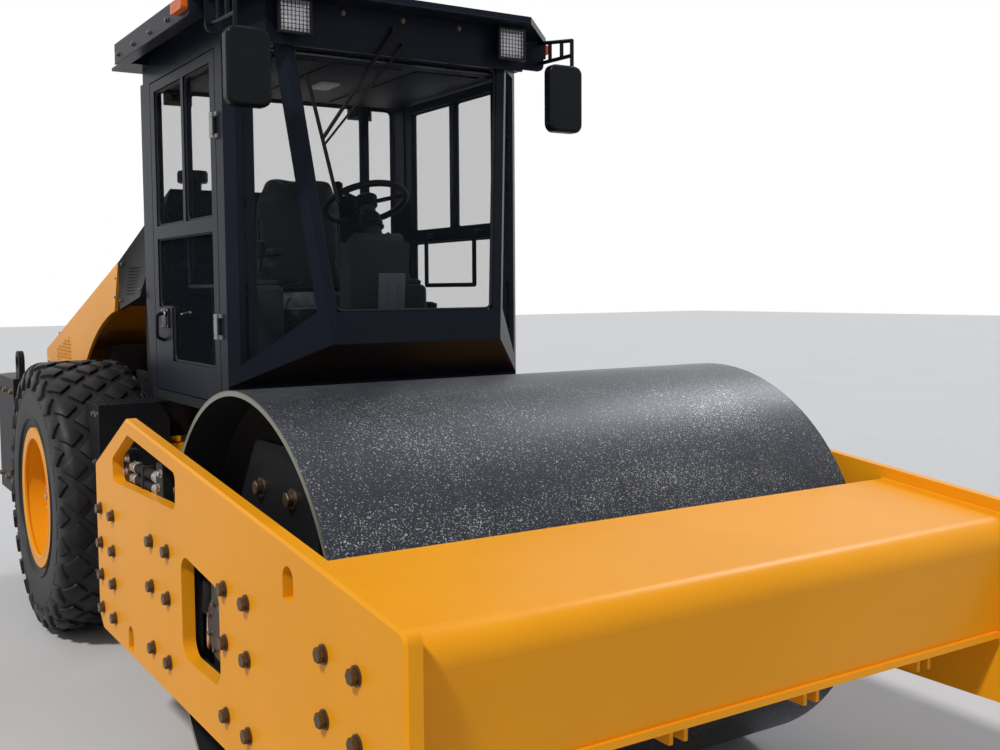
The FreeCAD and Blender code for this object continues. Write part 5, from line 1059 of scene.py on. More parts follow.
@dataclass
class WheelTrim(SideTrim):
    """Nuts, hub cover, lock ring and valve of a wheel."""

    axle_x: float = -1.357
    axle_z: float = 0.748
    disc_y: float = 0.985
    hub_y: float = 1.055
    ring: float = 0.205
    nuts: int = 12
    rim_y: float = 1.149
    rim_radius: float = 0.330

    def build(self) -> None:
        """Makes the trim of one side's wheel."""
        outward = (0, self.sign, 0)
        centre = (self.axle_x, self.sign * self.disc_y, self.axle_z)
        nuts = bmesh.new()
        add_bolts(nuts, circle_spots(centre, self.ring, self.nuts), outward, 0.033)
        self.piece("wheel_nuts", nuts, "bolt_steel", self.side.wheel)
        cover = bmesh.new()
        hub = aim((self.axle_x, self.sign * self.hub_y, self.axle_z), outward)
        add_lathe(cover, [(-0.004, 0.0), (-0.004, 0.132), (0.006, 0.132), (0.012, 0.126), (0.012, 0.060),
                          (0.026, 0.052), (0.026, 0.0)], hub)
        rim = aim((self.axle_x, self.sign * self.rim_y, self.axle_z), outward)
        add_lathe(cover, [(-0.0175, self.rim_radius - 0.004), (-0.012, self.rim_radius - 0.007),
                          (-0.0015, self.rim_radius - 0.007), (0.0015, self.rim_radius - 0.002),
                          (0.0015, self.rim_radius + 0.012), (-0.0175, self.rim_radius + 0.012)], rim, 96, True)
        disc = aim(centre, outward)
        add_lathe(cover, [(-0.003, 0.322), (0.010, 0.322), (0.010, 0.3315), (-0.003, 0.3315)], disc, 96, True)
        self.piece("hub_cover", cover, "frame_yellow", self.side.wheel, crease=25.0)
        small = bmesh.new()
        face = (self.axle_x, self.sign * (self.hub_y + 0.012), self.axle_z)
        add_bolts(small, circle_spots(face, 0.096, 10, 0.3), outward, 0.019)
        add_bolts(small, [(face[0], self.sign * (self.hub_y + 0.026), face[2])], outward, 0.030)
        stem = [(self.axle_x + 0.20, self.sign * (self.disc_y - 0.002), self.axle_z + 0.22),
                (self.axle_x + 0.20, self.sign * (self.disc_y + 0.030), self.axle_z + 0.22),
                (self.axle_x + 0.215, self.sign * (self.disc_y + 0.075), self.axle_z + 0.236)]
        add_tube(small, curved(stem, 0.02), 0.0055)
        self.piece("hub_bolts", small, "bright_bolt", self.side.wheel)


@dataclass
class DrumTrim(SideTrim):
    """Bolts, stiffeners and weld beads inside the ends of the drum."""

    axle_x: float = 1.6
    axle_z: float = 0.775
    web_y: float = 0.765
    shell_radius: float = 0.757
    hub_y: float = 0.825

    def build(self) -> None:
        """Makes the trim of one end of the drum."""
        outward = (0, self.sign, 0)
        bolts = bmesh.new()
        web = (self.axle_x, self.sign * self.web_y, self.axle_z)
        add_bolts(bolts, circle_spots(web, 0.33, 16), outward, 0.032)
        hub = (self.axle_x, self.sign * self.hub_y, self.axle_z)
        add_bolts(bolts, circle_spots(hub, 0.145, 12, 0.2), outward, 0.022)
        self.piece("drum_web_bolts", bolts, "bolt_steel", Part.DRUM)
        ring = bmesh.new()
        place = aim(web, outward)
        add_lathe(ring, [(-0.002, 0.285), (0.012, 0.285), (0.016, 0.290), (0.016, 0.305), (-0.002, 0.305)],
                  place, 72, True)
        add_lathe(ring, [(-0.002, 0.360), (0.016, 0.360), (0.016, 0.375), (0.012, 0.380), (-0.002, 0.380)],
                  place, 72, True)
        add_lathe(ring, [(0.112, self.shell_radius + 0.002), (0.112, self.shell_radius - 0.014),
                         (0.130, self.shell_radius + 0.002)], place, 96, True)
        for step in range(8):
            own = bmesh.new()
            add_prism(own, [(0.385, 0, -0.004), (0.640, 0, -0.004), (0.640, 0, 0.012), (0.400, 0, 0.045),
                            (0.385, 0, 0.045)], (0, 0.014, 0), 0.002, 1)
            join(ring, own, place @ Matrix.Rotation(math.tau * (step + 0.5) / 8, 4, "Z"))
        self.piece("drum_web_ribs", ring, "drum_steel", Part.DRUM)


# Front frame

@dataclass
class FrontTrim(Trim):
    """Weld beads, scraper bolts and small plates of the drum frame."""

    plate_in: float = 1.158
    beam_back: float = 2.370
    beam_box: float = 2.480
    beam_front: float = 2.930
    fold: float = 0.075
    bottom: float = 0.685
    rake: float = 0.080
    slope: float = (1.388 - 1.133) / (2.978 - 0.749)
    arm_half: float = 0.034
    bead: float = 0.0055

    def top(self, x: float) -> float:
        """Height of the beam's top at x."""
        return 1.388 - (x - 0.749) * self.slope - 0.047

    def build(self) -> None:
        """Makes the trim of the drum frame."""
        beads = bmesh.new()
        for side in Side:
            y = side.value * (self.plate_in - 0.001)
            front = self.beam_front
            path = [(self.beam_back + 0.004, y, self.top(self.beam_back)),
                    (front - self.fold, y, self.top(front - self.fold) + 0.001),
                    (front - 0.30 * self.fold, y, self.top(front) - 0.20 * self.fold),
                    (front - 0.2 * self.fold, y, self.top(front) - self.fold),
                    (front - self.rake + 0.004, y, self.bottom + 0.03)]
            add_tube(beads, curved(path, 0.05, 6), self.bead)
            add_tube(beads, [(0.300, y, 1.0225), (0.560, y, 1.0225)], 0.006)
            add_tube(beads, curved([(self.beam_box - 0.001, y, self.bottom + 0.01),
                                    (self.beam_box - 0.001, y, self.top(self.beam_box) - 0.030)], 0.01), self.bead)
        self.piece("frame_weld_beads", beads, "frame_yellow", Part.FRONT, crease=60.0)
        bolts = bmesh.new()
        for middle in (-0.79875, -0.26625, 0.26625, 0.79875):
            for sign in (-1, 1):
                spots = [(x, middle + sign * self.arm_half, z) for x, z in ((2.600, 0.668), (2.690, 0.657), (2.775, 0.648))]
                add_bolts(bolts, spots, (0, sign, 0), 0.019)
        add_bolts(bolts, [(2.4035, 0.12 * step, 0.705) for step in range(-8, 9)], (1, 0, 0), 0.016)
        self.piece("scraper_bolts", bolts, "bright_bolt", Part.FRONT)
        plates = bmesh.new()
        for side in Side:
            low, high = sorted((side.value * 1.1575, side.value * 1.150))
            add_block(plates, (2.36, low, 0.80), (2.48, high, 1.02), 0.003)
        add_lathe(plates, [(-0.001, 0.095), (0.006, 0.095), (0.010, 0.099), (0.010, 0.118), (-0.001, 0.118)],
                  aim((0.575, 0.0, 0.750), (1, 0, 0)), 40, True)
        self.piece("frame_wear_plates", plates, "dark_paint", Part.FRONT)


@dataclass
class HoseRun(SideTrim):
    """Clamp bolts, sleeves and unions of the hoses along a side plate."""

    posts: tuple[float, float] = (0.600, 1.040)
    face_y: float = 1.158
    hose_y: float = 1.139
    heights: tuple[float, float, float] = (1.094, 1.139, 1.184)
    radius: float = 0.019

    def build(self) -> None:
        """Makes the fittings of one side."""
        bolts = bmesh.new()
        spots = [(x + dx, self.sign * self.face_y, z) for x in self.posts for dx, z in ((-0.016, 1.158), (0.016, 1.214))]
        add_bolts(bolts, spots, (0, self.sign, 0), 0.020)
        y = self.sign * self.hose_y
        for z in self.heights:
            for start, step in ((0.640, 1), (1.000, -1)):
                add_round(bolts, (start, y, z), (start + step * 0.016, y, z), 0.0245, segments=6)
                add_round(bolts, (start + step * 0.016, y, z), (start + step * 0.062, y, z), 0.0222, round_off=0.002)
                for rib in (0.026, 0.038, 0.050):
                    add_round(bolts, (start + step * rib, y, z), (start + step * (rib + 0.005), y, z), 0.0234)
        self.piece("hose_fittings", bolts, "bright_bolt", Part.FRONT)
        sleeve = bmesh.new()
        for z in self.heights:
            add_round(sleeve, (0.700, y, z), (0.940, y, z), self.radius + 0.0012)
            for step in range(12):
                x = 0.708 + 0.020 * step
                add_round(sleeve, (x, y, z), (x + 0.004, y, z), self.radius + 0.0026, segments=20)
        add_block(sleeve, (0.812, y - 0.024, 1.068), (0.830, y + 0.024, 1.210), 0.004)
        self.piece("hose_sleeves", sleeve, "seal_rubber", Part.FRONT)


@dataclass
class MotorTrim(SideTrim):
    """Pipes, damper and bolts that show in the motor window, and the bolts of the drum carrier."""

    axle_x: float = 1.6
    axle_z: float = 0.775
    face_y: float = 1.143
    carrier_y: float = 0.930
    ring: float = 0.082

    def build(self) -> None:
        """Makes the trim of one side."""
        sign = self.sign
        bolts = bmesh.new()
        face = (self.axle_x, sign * self.face_y, self.axle_z)
        add_bolts(bolts, circle_spots(face, self.ring, 8, 0.39), (0, sign, 0), 0.016)
        carrier = [(self.axle_x - 0.134, sign * self.carrier_y, 1.202), (self.axle_x + 0.134, sign * self.carrier_y, 1.202),
                   (self.axle_x - 0.235, sign * self.carrier_y, 0.96), (self.axle_x + 0.235, sign * self.carrier_y, 0.96),
                   (self.axle_x - 0.235, sign * self.carrier_y, 0.60), (self.axle_x + 0.235, sign * self.carrier_y, 0.60)]
        add_bolts(bolts, carrier, (0, sign, 0), 0.045)
        inner = (self.axle_x, sign * self.carrier_y, self.axle_z)
        add_bolts(bolts, circle_spots(inner, 0.150, 10), (0, sign, 0), 0.024)
        self.piece("motor_bolts", bolts, "bolt_steel", Part.FRONT)
        pipes = bmesh.new()
        for shift, drop in ((0.0, 0.0), (0.034, 0.02)):
            path = [(1.425 + shift, sign * 1.112, 1.03), (1.428 + shift, sign * 1.112, 0.88 - drop),
                    (1.462 + shift, sign * 1.104, 0.80 - drop), (1.470 + shift, sign * 1.100, 0.60)]
            add_tube(pipes, curved(path, 0.06, 6), 0.0125, 12)
        for z in (0.868, 0.902):
            path = [(1.655, sign * 1.105, z), (1.700, sign * 1.110, z), (1.745, sign * 1.112, z + 0.05),
                    (1.752, sign * 1.112, 1.04)]
            add_tube(pipes, curved(path, 0.05, 6), 0.011, 12)
        add_round(pipes, (1.455, sign * 1.118, 0.905), (1.438, sign * 1.118, 0.790), 0.024, round_off=0.004)
        self.piece("motor_pipes", pipes, "seal_rubber", Part.FRONT, crease=45.0)
        rods = bmesh.new()
        add_round(rods, (1.440, sign * 1.118, 0.795), (1.4255, sign * 1.118, 0.660), 0.0095)
        for z in (0.868, 0.902):
            add_round(rods, (1.655, sign * 1.105, z), (1.682, sign * 1.105, z), 0.0165, segments=6)
        self.piece("motor_rods", rods, "chrome_rod", Part.FRONT)
        buffers = bmesh.new()
        for x, z in ((-0.31, 0.12), (-0.31, -0.12), (0.31, 0.12), (0.31, -0.12)):
            centre = aim((self.axle_x + x, sign * (self.carrier_y + 0.0005), self.axle_z + z), (0, sign, 0))
            add_lathe(buffers, [(0.0, 0.0), (0.0, 0.040), (0.010, 0.046), (0.024, 0.040), (0.030, 0.0)], centre, 28)
        self.piece("drum_buffers", buffers, "seal_rubber", Part.FRONT)


# Cab

@dataclass
class Panes(Trim):
    """Rubber seals round the cab's panes."""

    half: float = 0.728
    glass: float = 0.7145
    rail: float = 0.062
    rear: float = -0.420
    front: float = 0.505
    waist: float = 2.160
    divider: float = 0.070
    bar: float = 0.034
    radius: float = 0.0065

    def door_outlines(self) -> list[list[tuple[float, float]]]:
        """X and Z corners of a door's three panes."""
        top, low = 2.880 - 0.7 * self.rail, 1.545
        rear, front = self.rear + self.rail, self.front - self.rail
        up, down = self.waist + self.rail / 2, self.waist - self.rail / 2
        return [[(rear, up), (self.divider - self.bar / 2, up), (self.divider - self.bar / 2, top), (rear, top)],
                [(self.divider + self.bar / 2, up), (front, up), (front, top), (self.divider + self.bar / 2, top)],
                [(rear, down), (rear, 1.800), (-0.155, 1.800), (-0.155, low), (front, low), (front, down)]]

    def seal(self, mesh: Mesh, corners: list[Point]) -> None:
        """Adds a seal a little inside an opening's corners."""
        middle = sum((Vector(corner) for corner in corners), Vector()) / len(corners)
        inner = [Vector(corner) + (middle - Vector(corner)).normalized() * 0.004 for corner in corners]
        add_tube(mesh, curved([tuple(corner) for corner in inner], 0.035, 5, closed=True), self.radius, 8, closed=True)

    def front_corners(self, z: float) -> tuple[float, float]:
        """X and half width of the cab's nose at a height."""
        share = (z - 1.654) / (2.900 - 1.654)
        return 0.941 + share * (0.790 - 0.941), 0.408 + share * (0.540 - 0.408)

    def build(self) -> None:
        """Makes every seal."""
        for side in Side:
            mesh = bmesh.new()
            for outline in self.door_outlines():
                self.seal(mesh, [(x, side.value * self.glass, z) for x, z in outline])
            self.piece("door_seals_" + side.word, mesh, "seal_rubber", side.door)
        mesh = bmesh.new()
        foot_x, foot_half = self.front_corners(1.785)
        head_x, head_half = self.front_corners(2.868)
        foot_half, head_half = foot_half - 0.042, head_half - 0.042
        self.seal(mesh, [(foot_x - 0.013, -foot_half, 1.785), (foot_x - 0.013, foot_half, 1.785),
                         (head_x - 0.013, head_half, 2.868), (head_x - 0.013, -head_half, 2.868)])
        for low, high in ((-0.6785, -0.522), (-0.488, 0.488), (0.522, 0.6785)):
            for x in (-0.5685, -0.5535):
                self.seal(mesh, [(x, low, 2.000), (x, high, 2.000), (x, high, 2.880), (x, low, 2.880)])
        self.piece("cab_seals", mesh, "seal_rubber", Part.REAR)


@dataclass
class DoorTrim(SideTrim):
    """Latch, handle and inner release of a door."""

    face: float = 0.728
    latch_x: float = -0.246

    def build(self) -> None:
        """Makes the trim of one door."""
        sign = self.sign

        def out(value: float) -> float:
            return sign * (self.face + value)
        handle = bmesh.new()
        low, high = sorted((out(-0.002), out(0.006)))
        add_block(handle, (self.latch_x - 0.060, low, 1.700), (self.latch_x + 0.045, high, 1.795), 0.003)
        grip = [(self.latch_x - 0.040, out(0.004), 1.770), (self.latch_x - 0.040, out(0.034), 1.765),
                (self.latch_x - 0.040, out(0.036), 1.655), (self.latch_x - 0.040, out(0.0), 1.640)]
        add_tube(handle, curved(grip, 0.02, 5), 0.0085, 12)
        add_round(handle, (self.latch_x + 0.018, out(0.002), 1.770), (self.latch_x + 0.018, out(0.014), 1.770), 0.014,
                  round_off=0.002)
        low, high = sorted((out(-0.058), out(-0.038)))
        add_block(handle, (self.latch_x - 0.055, low, 1.700), (self.latch_x + 0.040, high, 1.790), 0.006)
        self.piece("door_handle", handle, "gloss_black", self.side.door)
        lock = bmesh.new()
        add_round(lock, (self.latch_x + 0.018, out(0.013), 1.770), (self.latch_x + 0.018, out(0.016), 1.770), 0.010,
                  round_off=0.001)
        for dx, z in ((-0.050, 1.709), (0.036, 1.709), (-0.050, 1.786), (0.036, 1.786)):
            add_round(lock, (self.latch_x + dx, out(0.005), z), (self.latch_x + dx, out(0.008), z), 0.0045,
                      segments=12)
        lever = [(self.latch_x - 0.01, out(-0.056), 1.760), (self.latch_x - 0.01, out(-0.085), 1.765),
                 (self.latch_x + 0.09, out(-0.088), 1.775)]
        add_tube(lock, curved(lever, 0.015), 0.006)
        self.piece("door_lock", lock, "bright_bolt", self.side.door)


@dataclass
class Seat(Trim):
    """Sprung operator's seat with padded cushion and back."""

    middle_x: float = -0.110
    top_z: float = 1.860
    half_width: float = 0.240
    half_depth: float = 0.235
    back_low: float = 1.870
    back_high: float = 2.460
    back_x: tuple[float, float] = (-0.380, -0.260)
    shrink: float = 0.009
    cap: float = 0.024

    def pad(self, name: str, corners: list[Point], push: Point, node: str, rounding: float) -> None:
        """Makes a padded piece from an outline, swollen by cloth simulation.

        Args:
            name: the piece's name.
            corners: outline of the unswollen pad.
            push: direction and depth of the pad.
            node: the node that it stands for.
            rounding: how far its edges are rounded before it swells.
        """
        mesh = bmesh.new()
        add_prism(mesh, corners, push, rounding, 3)
        thing = self.piece(name, mesh, "seat_cloth", Part.REAR, crease=180.0, replaces=(node,))
        self.swell(thing)

    def swell(self, thing: bpy.types.Object) -> None:
        scene = bpy.context.scene
        bpy.context.view_layer.objects.active = thing
        remesh = thing.modifiers.new("remesh", "REMESH")
        remesh.mode = "VOXEL"
        remesh.voxel_size = 0.006
        self.apply(thing)
        rest = [vert.co.copy() for vert in thing.data.vertices]
        cloth = thing.modifiers.new("cloth", "CLOTH")
        cloth.settings.use_pressure = True
        cloth.settings.uniform_pressure_force = 4.0
        cloth.settings.effector_weights.gravity = 0.0
        for frame in range(1, 21):
            scene.frame_set(frame)
        self.apply(thing)
        scene.frame_set(1)
        for vert, start in zip(thing.data.vertices, rest):
            shift = vert.co - start
            if shift.length > self.cap:
                vert.co = start + shift.normalized() * self.cap
        halved = thing.modifiers.new("subdivision", "SUBSURF")
        halved.levels = halved.render_levels = 1
        self.apply(thing)
        smooth = bmesh.new()
        smooth.from_mesh(thing.data)
        for _ in range(3):
            bmesh.ops.smooth_vert(smooth, verts=smooth.verts, factor=0.5, use_axis_x=True, use_axis_y=True,
                                  use_axis_z=True)
        for face in smooth.faces:
            face.smooth = True
        smooth.to_mesh(thing.data)
        smooth.free()

    def apply(self, thing: bpy.types.Object) -> None:
        """Bakes an object's modifiers into its mesh."""
        graph = bpy.context.evaluated_depsgraph_get()
        graph.update()
        made = bpy.data.meshes.new_from_object(thing.evaluated_get(graph), depsgraph=graph)
        materials = list(thing.data.materials)
        old = thing.data
        thing.modifiers.clear()
        thing.data = made
        if not made.materials:
            for material in materials:
                made.materials.append(material)
        bpy.data.meshes.remove(old)
        made.name = thing.name

    def build(self) -> None:
        """Makes the pads, their piping and the seat's fittings."""
        inset = self.shrink
        low_x, high_x = self.middle_x - self.half_depth + inset, self.middle_x + self.half_depth - inset
        wide = self.half_width - inset
        cushion = [(low_x, -wide, self.top_z - 0.132), (high_x - 0.02, -wide, self.top_z - 0.132),
                   (high_x - 0.02, wide, self.top_z - 0.132), (low_x, wide, self.top_z - 0.132)]
        self.pad("seat_cushion_pad", cushion, (0, 0, 0.114), "seat_cushion", 0.035)
        near, far = self.back_x[0] + inset, self.back_x[1] - inset
        back = [(near, -wide, self.back_low + inset), (near, wide, self.back_low + inset),
                (near, wide, self.back_high - 0.14), (near, wide - 0.06, self.back_high - inset),
                (near, -wide + 0.06, self.back_high - inset), (near, -wide, self.back_high - 0.14)]
        self.pad("seat_back_pad", back, (far - near, 0, 0), "seat_back", 0.030)
        self.fittings()

    def fittings(self) -> None:
        """Makes piping, armrests, belt, slides and levers."""
        piping = bmesh.new()
        z = self.top_z - 0.074
        edge_x, edge_y = self.half_depth - 0.010, self.half_width - 0.012
        loop = [(self.middle_x - edge_x, -edge_y, z), (self.middle_x + edge_x - 0.02, -edge_y, z),
                (self.middle_x + edge_x - 0.02, edge_y, z), (self.middle_x - edge_x, edge_y, z)]
        add_tube(piping, curved(loop, 0.07, 6, closed=True), 0.0045, 8, closed=True)
        x = (self.back_x[0] + self.back_x[1]) / 2
        back = [(x, -edge_y, self.back_low + 0.02), (x, edge_y, self.back_low + 0.02),
                (x, edge_y, self.back_high - 0.15), (x, edge_y - 0.06, self.back_high - 0.028),
                (x, -edge_y + 0.06, self.back_high - 0.028), (x, -edge_y, self.back_high - 0.15)]
        add_tube(piping, curved(back, 0.06, 6, closed=True), 0.0045, 8, closed=True)
        self.piece("seat_piping", piping, "seat_piping", Part.REAR)
        frame = bmesh.new()
        for sign in (-1, 1):
            y = sign * (self.half_width + 0.035)
            low, high = sorted((y - 0.030, y + 0.030))
            add_block(frame, (-0.27, low, 2.035), (0.06, high, 2.075), 0.016, 3)
            add_round(frame, (-0.335, y, 2.055), (-0.26, y, 2.055), 0.012)
            add_block(frame, (-0.350, y - 0.015, 1.95), (-0.322, y + 0.015, 2.10), 0.005)
        add_tube(frame, curved([(0.085, -0.12, 1.715), (0.150, -0.12, 1.712), (0.150, 0.12, 1.712),
                                (0.085, 0.12, 1.715)], 0.03), 0.007)
        for step in range(5):
            z = 1.43 + 0.055 * step
            add_block(frame, (-0.30, -0.215, z), (0.095, 0.215, z + 0.030), 0.012)
        self.piece("seat_frame", frame, "black_plastic", Part.REAR)
        buckle = bmesh.new()
        add_block(buckle, (-0.19, 0.243, 1.80), (-0.15, 0.262, 1.90), 0.005)
        add_block(buckle, (-0.19, -0.262, 1.80), (-0.15, -0.243, 1.86), 0.005)
        self.piece("seat_belt_buckle", buckle, "gloss_black", Part.REAR)


@dataclass
class Controls(Trim):
    """Console face, levers, pedals and the trim of the steering wheel."""

    wheel: Point = (0.450, 0.0, 2.270)
    tilt: float = 25.0
    floor_z: float = 1.395

    def build(self) -> None:
        """Makes the operator's controls."""
        lean = math.radians(self.tilt)
        axis = Vector((-math.sin(lean), 0.0, math.cos(lean)))
        hub = Vector(self.wheel)
        cap = bmesh.new()
        add_lathe(cap, [(0.016, 0.0), (0.016, 0.056), (0.024, 0.056), (0.034, 0.044), (0.038, 0.022), (0.038, 0.0)],
                  aim(hub, axis), 40)
        add_lathe(cap, [(-0.130, 0.034), (-0.130, 0.058), (-0.120, 0.050), (-0.110, 0.056), (-0.100, 0.048),
                        (-0.090, 0.053), (-0.080, 0.046), (-0.070, 0.050), (-0.060, 0.043), (-0.050, 0.034)],
                  aim(hub, axis), 32, True)
        knob = hub + Matrix.Rotation(math.radians(205), 3, axis) @ Vector((0, 0.185, 0))
        add_lathe(cap, [(0.010, 0.0), (0.010, 0.012), (0.020, 0.010), (0.030, 0.022), (0.044, 0.024),
                        (0.054, 0.016), (0.058, 0.0)], aim(knob, axis), 24)
        self.piece("steering_wheel_trim", cap, "black_plastic", Part.REAR, crease=50.0)
        dash = bmesh.new()
        place = Matrix.Translation((0.535, 0.0, 2.092)) @ Matrix.Rotation(-lean, 4, "Y")
        add_block(dash, (-0.055, -0.125, -0.030), (0.048, 0.125, 0.022), 0.012, 3, place)
        self.piece("console_dash", dash, "grey_plastic", Part.REAR)
        panel = bmesh.new()
        front = Matrix.Translation((0.5623, 0.0, 1.745)) @ Matrix.Rotation(math.atan2(0.065, 0.6937), 4, "Y")
        add_block(panel, (-0.004, -0.010, -0.245), (0.010, 0.128, 0.205), 0.006, 2, front)
        for y in (0.030, 0.088):
            add_block(panel, (0.006, y - 0.0025, -0.235), (0.0135, y + 0.0025, 0.165), 0.001, 1, front)
        self.piece("console_panel", panel, "pale_panel", Part.REAR)
        dials = bmesh.new()
        for y in (-0.080, 0.080):
            add_lathe(dials, [(0.018, 0.0), (0.018, 0.030), (0.028, 0.030), (0.028, 0.025), (0.022, 0.0)],
                      place @ Matrix.Translation((-0.008, y, 0.0)), 32)
        for y in (-0.105, -0.080, -0.055, 0.055, 0.080, 0.105):
            add_block(dials, (0.026, y - 0.008, 0.018), (0.042, y + 0.008, 0.028), 0.002, 2, place)
        self.piece("console_dials", dials, "gloss_black", Part.REAR)
        side = bmesh.new()
        for sign in (-1, 1):
            y = sign * 0.385
            add_block(side, (-0.36, y - 0.085, self.floor_z), (0.20, y + 0.085, 1.90), 0.03, 3)
            add_block(side, (-0.30, y - 0.070, 1.895), (0.16, y + 0.070, 1.925), 0.012, 2)
        self.piece("side_consoles", side, "grey_plastic", Part.REAR)
        levers = bmesh.new()
        for y, x in ((-0.385, 0.10), (0.385, 0.10)):
            add_round(levers, (x, y, 1.92), (x + 0.02, y, 2.03), 0.010)
            add_lathe(levers, [(0.0, 0.0), (0.0, 0.034), (0.010, 0.036), (0.020, 0.028), (0.030, 0.030),
                               (0.040, 0.020), (0.050, 0.012), (0.050, 0.0)], aim((x, y, 1.920), (0, 0, 1)), 24)
            add_lathe(levers, [(0.0, 0.0), (0.0, 0.014), (0.02, 0.018), (0.06, 0.022), (0.085, 0.018), (0.095, 0.0)],
                      aim((x + 0.016, y, 2.02), (0.15, 0, 1)), 24)
        for y in (-0.385, 0.385):
            for step in range(4):
                add_block(levers, (-0.25 + 0.06 * step, y - 0.045, 1.92), (-0.215 + 0.06 * step, y - 0.012, 1.934), 0.003)
                add_round(levers, (-0.232 + 0.06 * step, y + 0.030, 1.92), (-0.232 + 0.06 * step, y + 0.030, 1.940),
                          0.012, round_off=0.002)
        for y in (-0.11, 0.11):
            own = Matrix.Translation((0.40, y, self.floor_z + 0.05)) @ Matrix.Rotation(math.radians(-32), 4, "Y")
            add_block(levers, (-0.085, -0.042, -0.006), (0.085, 0.042, 0.006), 0.004, 2, own)
            for step in range(6):
                add_block(levers, (-0.066 + 0.024 * step, -0.036, 0.005), (-0.054 + 0.024 * step, 0.036, 0.010), 0.002,
                          1, own)
        self.piece("cab_levers", levers, "black_plastic", Part.REAR, crease=50.0)
        mat = bmesh.new()
        add_block(mat, (-0.46, -0.62, self.floor_z), (0.56, 0.62, self.floor_z + 0.008), 0.002)
        for step in range(24):
            x = -0.44 + 0.042 * step
            add_block(mat, (x, -0.60, self.floor_z + 0.006), (x + 0.012, 0.60, self.floor_z + 0.0115), 0.002, 1)
        self.piece("floor_mat", mat, "seal_rubber", Part.REAR)


# Roof, lamps and mirrors

@dataclass
class RoofTrim(Trim):
    """Headliner, inner lamp, seams and bolts of the roof."""

    low_z: float = 2.975
    top_z: float = 3.070

    def build(self) -> None:
        """Makes the roof's trim."""
        liner = bmesh.new()
        add_block(liner, (-0.525, -0.670, 2.884), (0.560, 0.670, 2.8995), 0.006)
        for y in (-0.42, 0.0, 0.42):
            add_block(liner, (-0.46, y - 0.17, 2.876), (0.50, y + 0.17, 2.886), 0.004)
        self.piece("cab_headliner", liner, "grey_plastic", Part.REAR)
        lamp = bmesh.new()
        add_block(lamp, (-0.06, -0.05, 2.862), (0.10, 0.05, 2.878), 0.006, 3)
        self.piece("cab_inner_lamp", lamp, "white_plastic", Part.REAR)
        bolts = bmesh.new()
        for sign in (-1, 1):
            add_bolts(bolts, [(x, sign * 0.8755, 3.012) for x in (-0.42, -0.16, 0.10, 0.36)], (0, sign, 0), 0.017)
        add_bolts(bolts, [(0.8195, y, 3.015) for y in (-0.56, -0.28, 0.0, 0.28, 0.56)], (1, 0, 0), 0.015)
        self.piece("roof_bolts", bolts, "bolt_steel", Part.REAR)
        seams = bmesh.new()
        for sign in (-1, 1):
            add_tube(seams, [(-0.480, sign * 0.8745, 2.9765), (0.645, sign * 0.8745, 2.9765)], 0.004, 8)
        add_tube(seams, [(0.9595, -0.565, 3.042), (0.9595, 0.565, 3.042)], 0.004, 8)
        self.piece("roof_drip_edges", seams, "cab_paint", Part.REAR, crease=60.0)


@dataclass
class LampTrim(Trim):
    """Lenses, guards and brackets of the work lamps, and ribs of the marker and tail lamps."""

    side: float = 0.520
    front_x: float = 0.887
    front_z: float = 2.963
    rear_x: float = -0.650
    rear_z: float = 2.898
    half_wide: float = 0.0625
    half_tall: float = 0.061

    def lens(self, mesh: Mesh, x: float, y: float, z: float, sign: int) -> None:
        """Adds a crowned work lamp lens with grid lines."""
        own = bmesh.new()
        bmesh.ops.create_grid(own, x_segments=10, y_segments=10, size=1.0)
        for vert in own.verts:
            crown = (1 - vert.co.x ** 4) * (1 - vert.co.y ** 4)
            vert.co = (sign * (0.0035 * crown - 0.006), vert.co.x * self.half_wide, vert.co.y * self.half_tall)
        solid = bmesh.ops.extrude_face_region(own, geom=own.faces[:], use_keep_orig=True)
        for vert in verts_of(solid):
            vert.co.x = -sign * 0.0055 - sign * 0.003
        bmesh.ops.recalc_face_normals(own, faces=own.faces)
        join(mesh, own, Matrix.Translation((x, y, z)))

    def build(self) -> None:
        """Makes the trim of every lamp."""
        lenses = bmesh.new()
        grid = bmesh.new()
        for sign in (-1, 1):
            for x, z, look in ((self.front_x, self.front_z, 1), (self.rear_x, self.rear_z, -1)):
                y = sign * self.side
                self.lens(lenses, x, y, z, look)
                for step in range(-3, 4):
                    offset = step * 0.0165
                    low, high = sorted((x - look * 0.0045, x - look * 0.0015))
                    add_block(grid, (low, y + offset - 0.0011, z - self.half_tall),
                              (high, y + offset + 0.0011, z + self.half_tall))
                    add_block(grid, (low, y - self.half_wide, z + offset - 0.0009),
                              (high, y + self.half_wide, z + offset + 0.0009))
                low, high = sorted((x - look * 0.052, x - look * 0.024))
                if look > 0:
                    add_block(grid, (low, y - 0.020, z + self.half_tall - 0.012), (high, y + 0.020, z + 0.088), 0.003)
        self.piece("work_lamp_lenses", lenses, "clear_lens", Part.REAR, crease=50.0)
        self.piece("work_lamp_guards", grid, "gloss_black", Part.REAR)
        amber = bmesh.new()
        red = bmesh.new()
        for sign in (-1, 1):
            for step in range(9):
                x = 0.504 + 0.0148 * step
                low, high = sorted((sign * 0.9015, sign * 0.9042))
                add_block(amber, (x, low, 3.004), (x + 0.006, high, 3.042), 0.001, 1)
            for step in range(10):
                y = sign * 0.860 - 0.068 + 0.0142 * step
                add_block(red, (-2.9779, y, 1.150), (-2.9755, y + 0.006, 1.210), 0.001, 1)
        self.piece("marker_lamp_ribs", amber, "amber_lens", Part.REAR)
        self.piece("tail_lamp_ribs", red, "red_lens", Part.REAR)


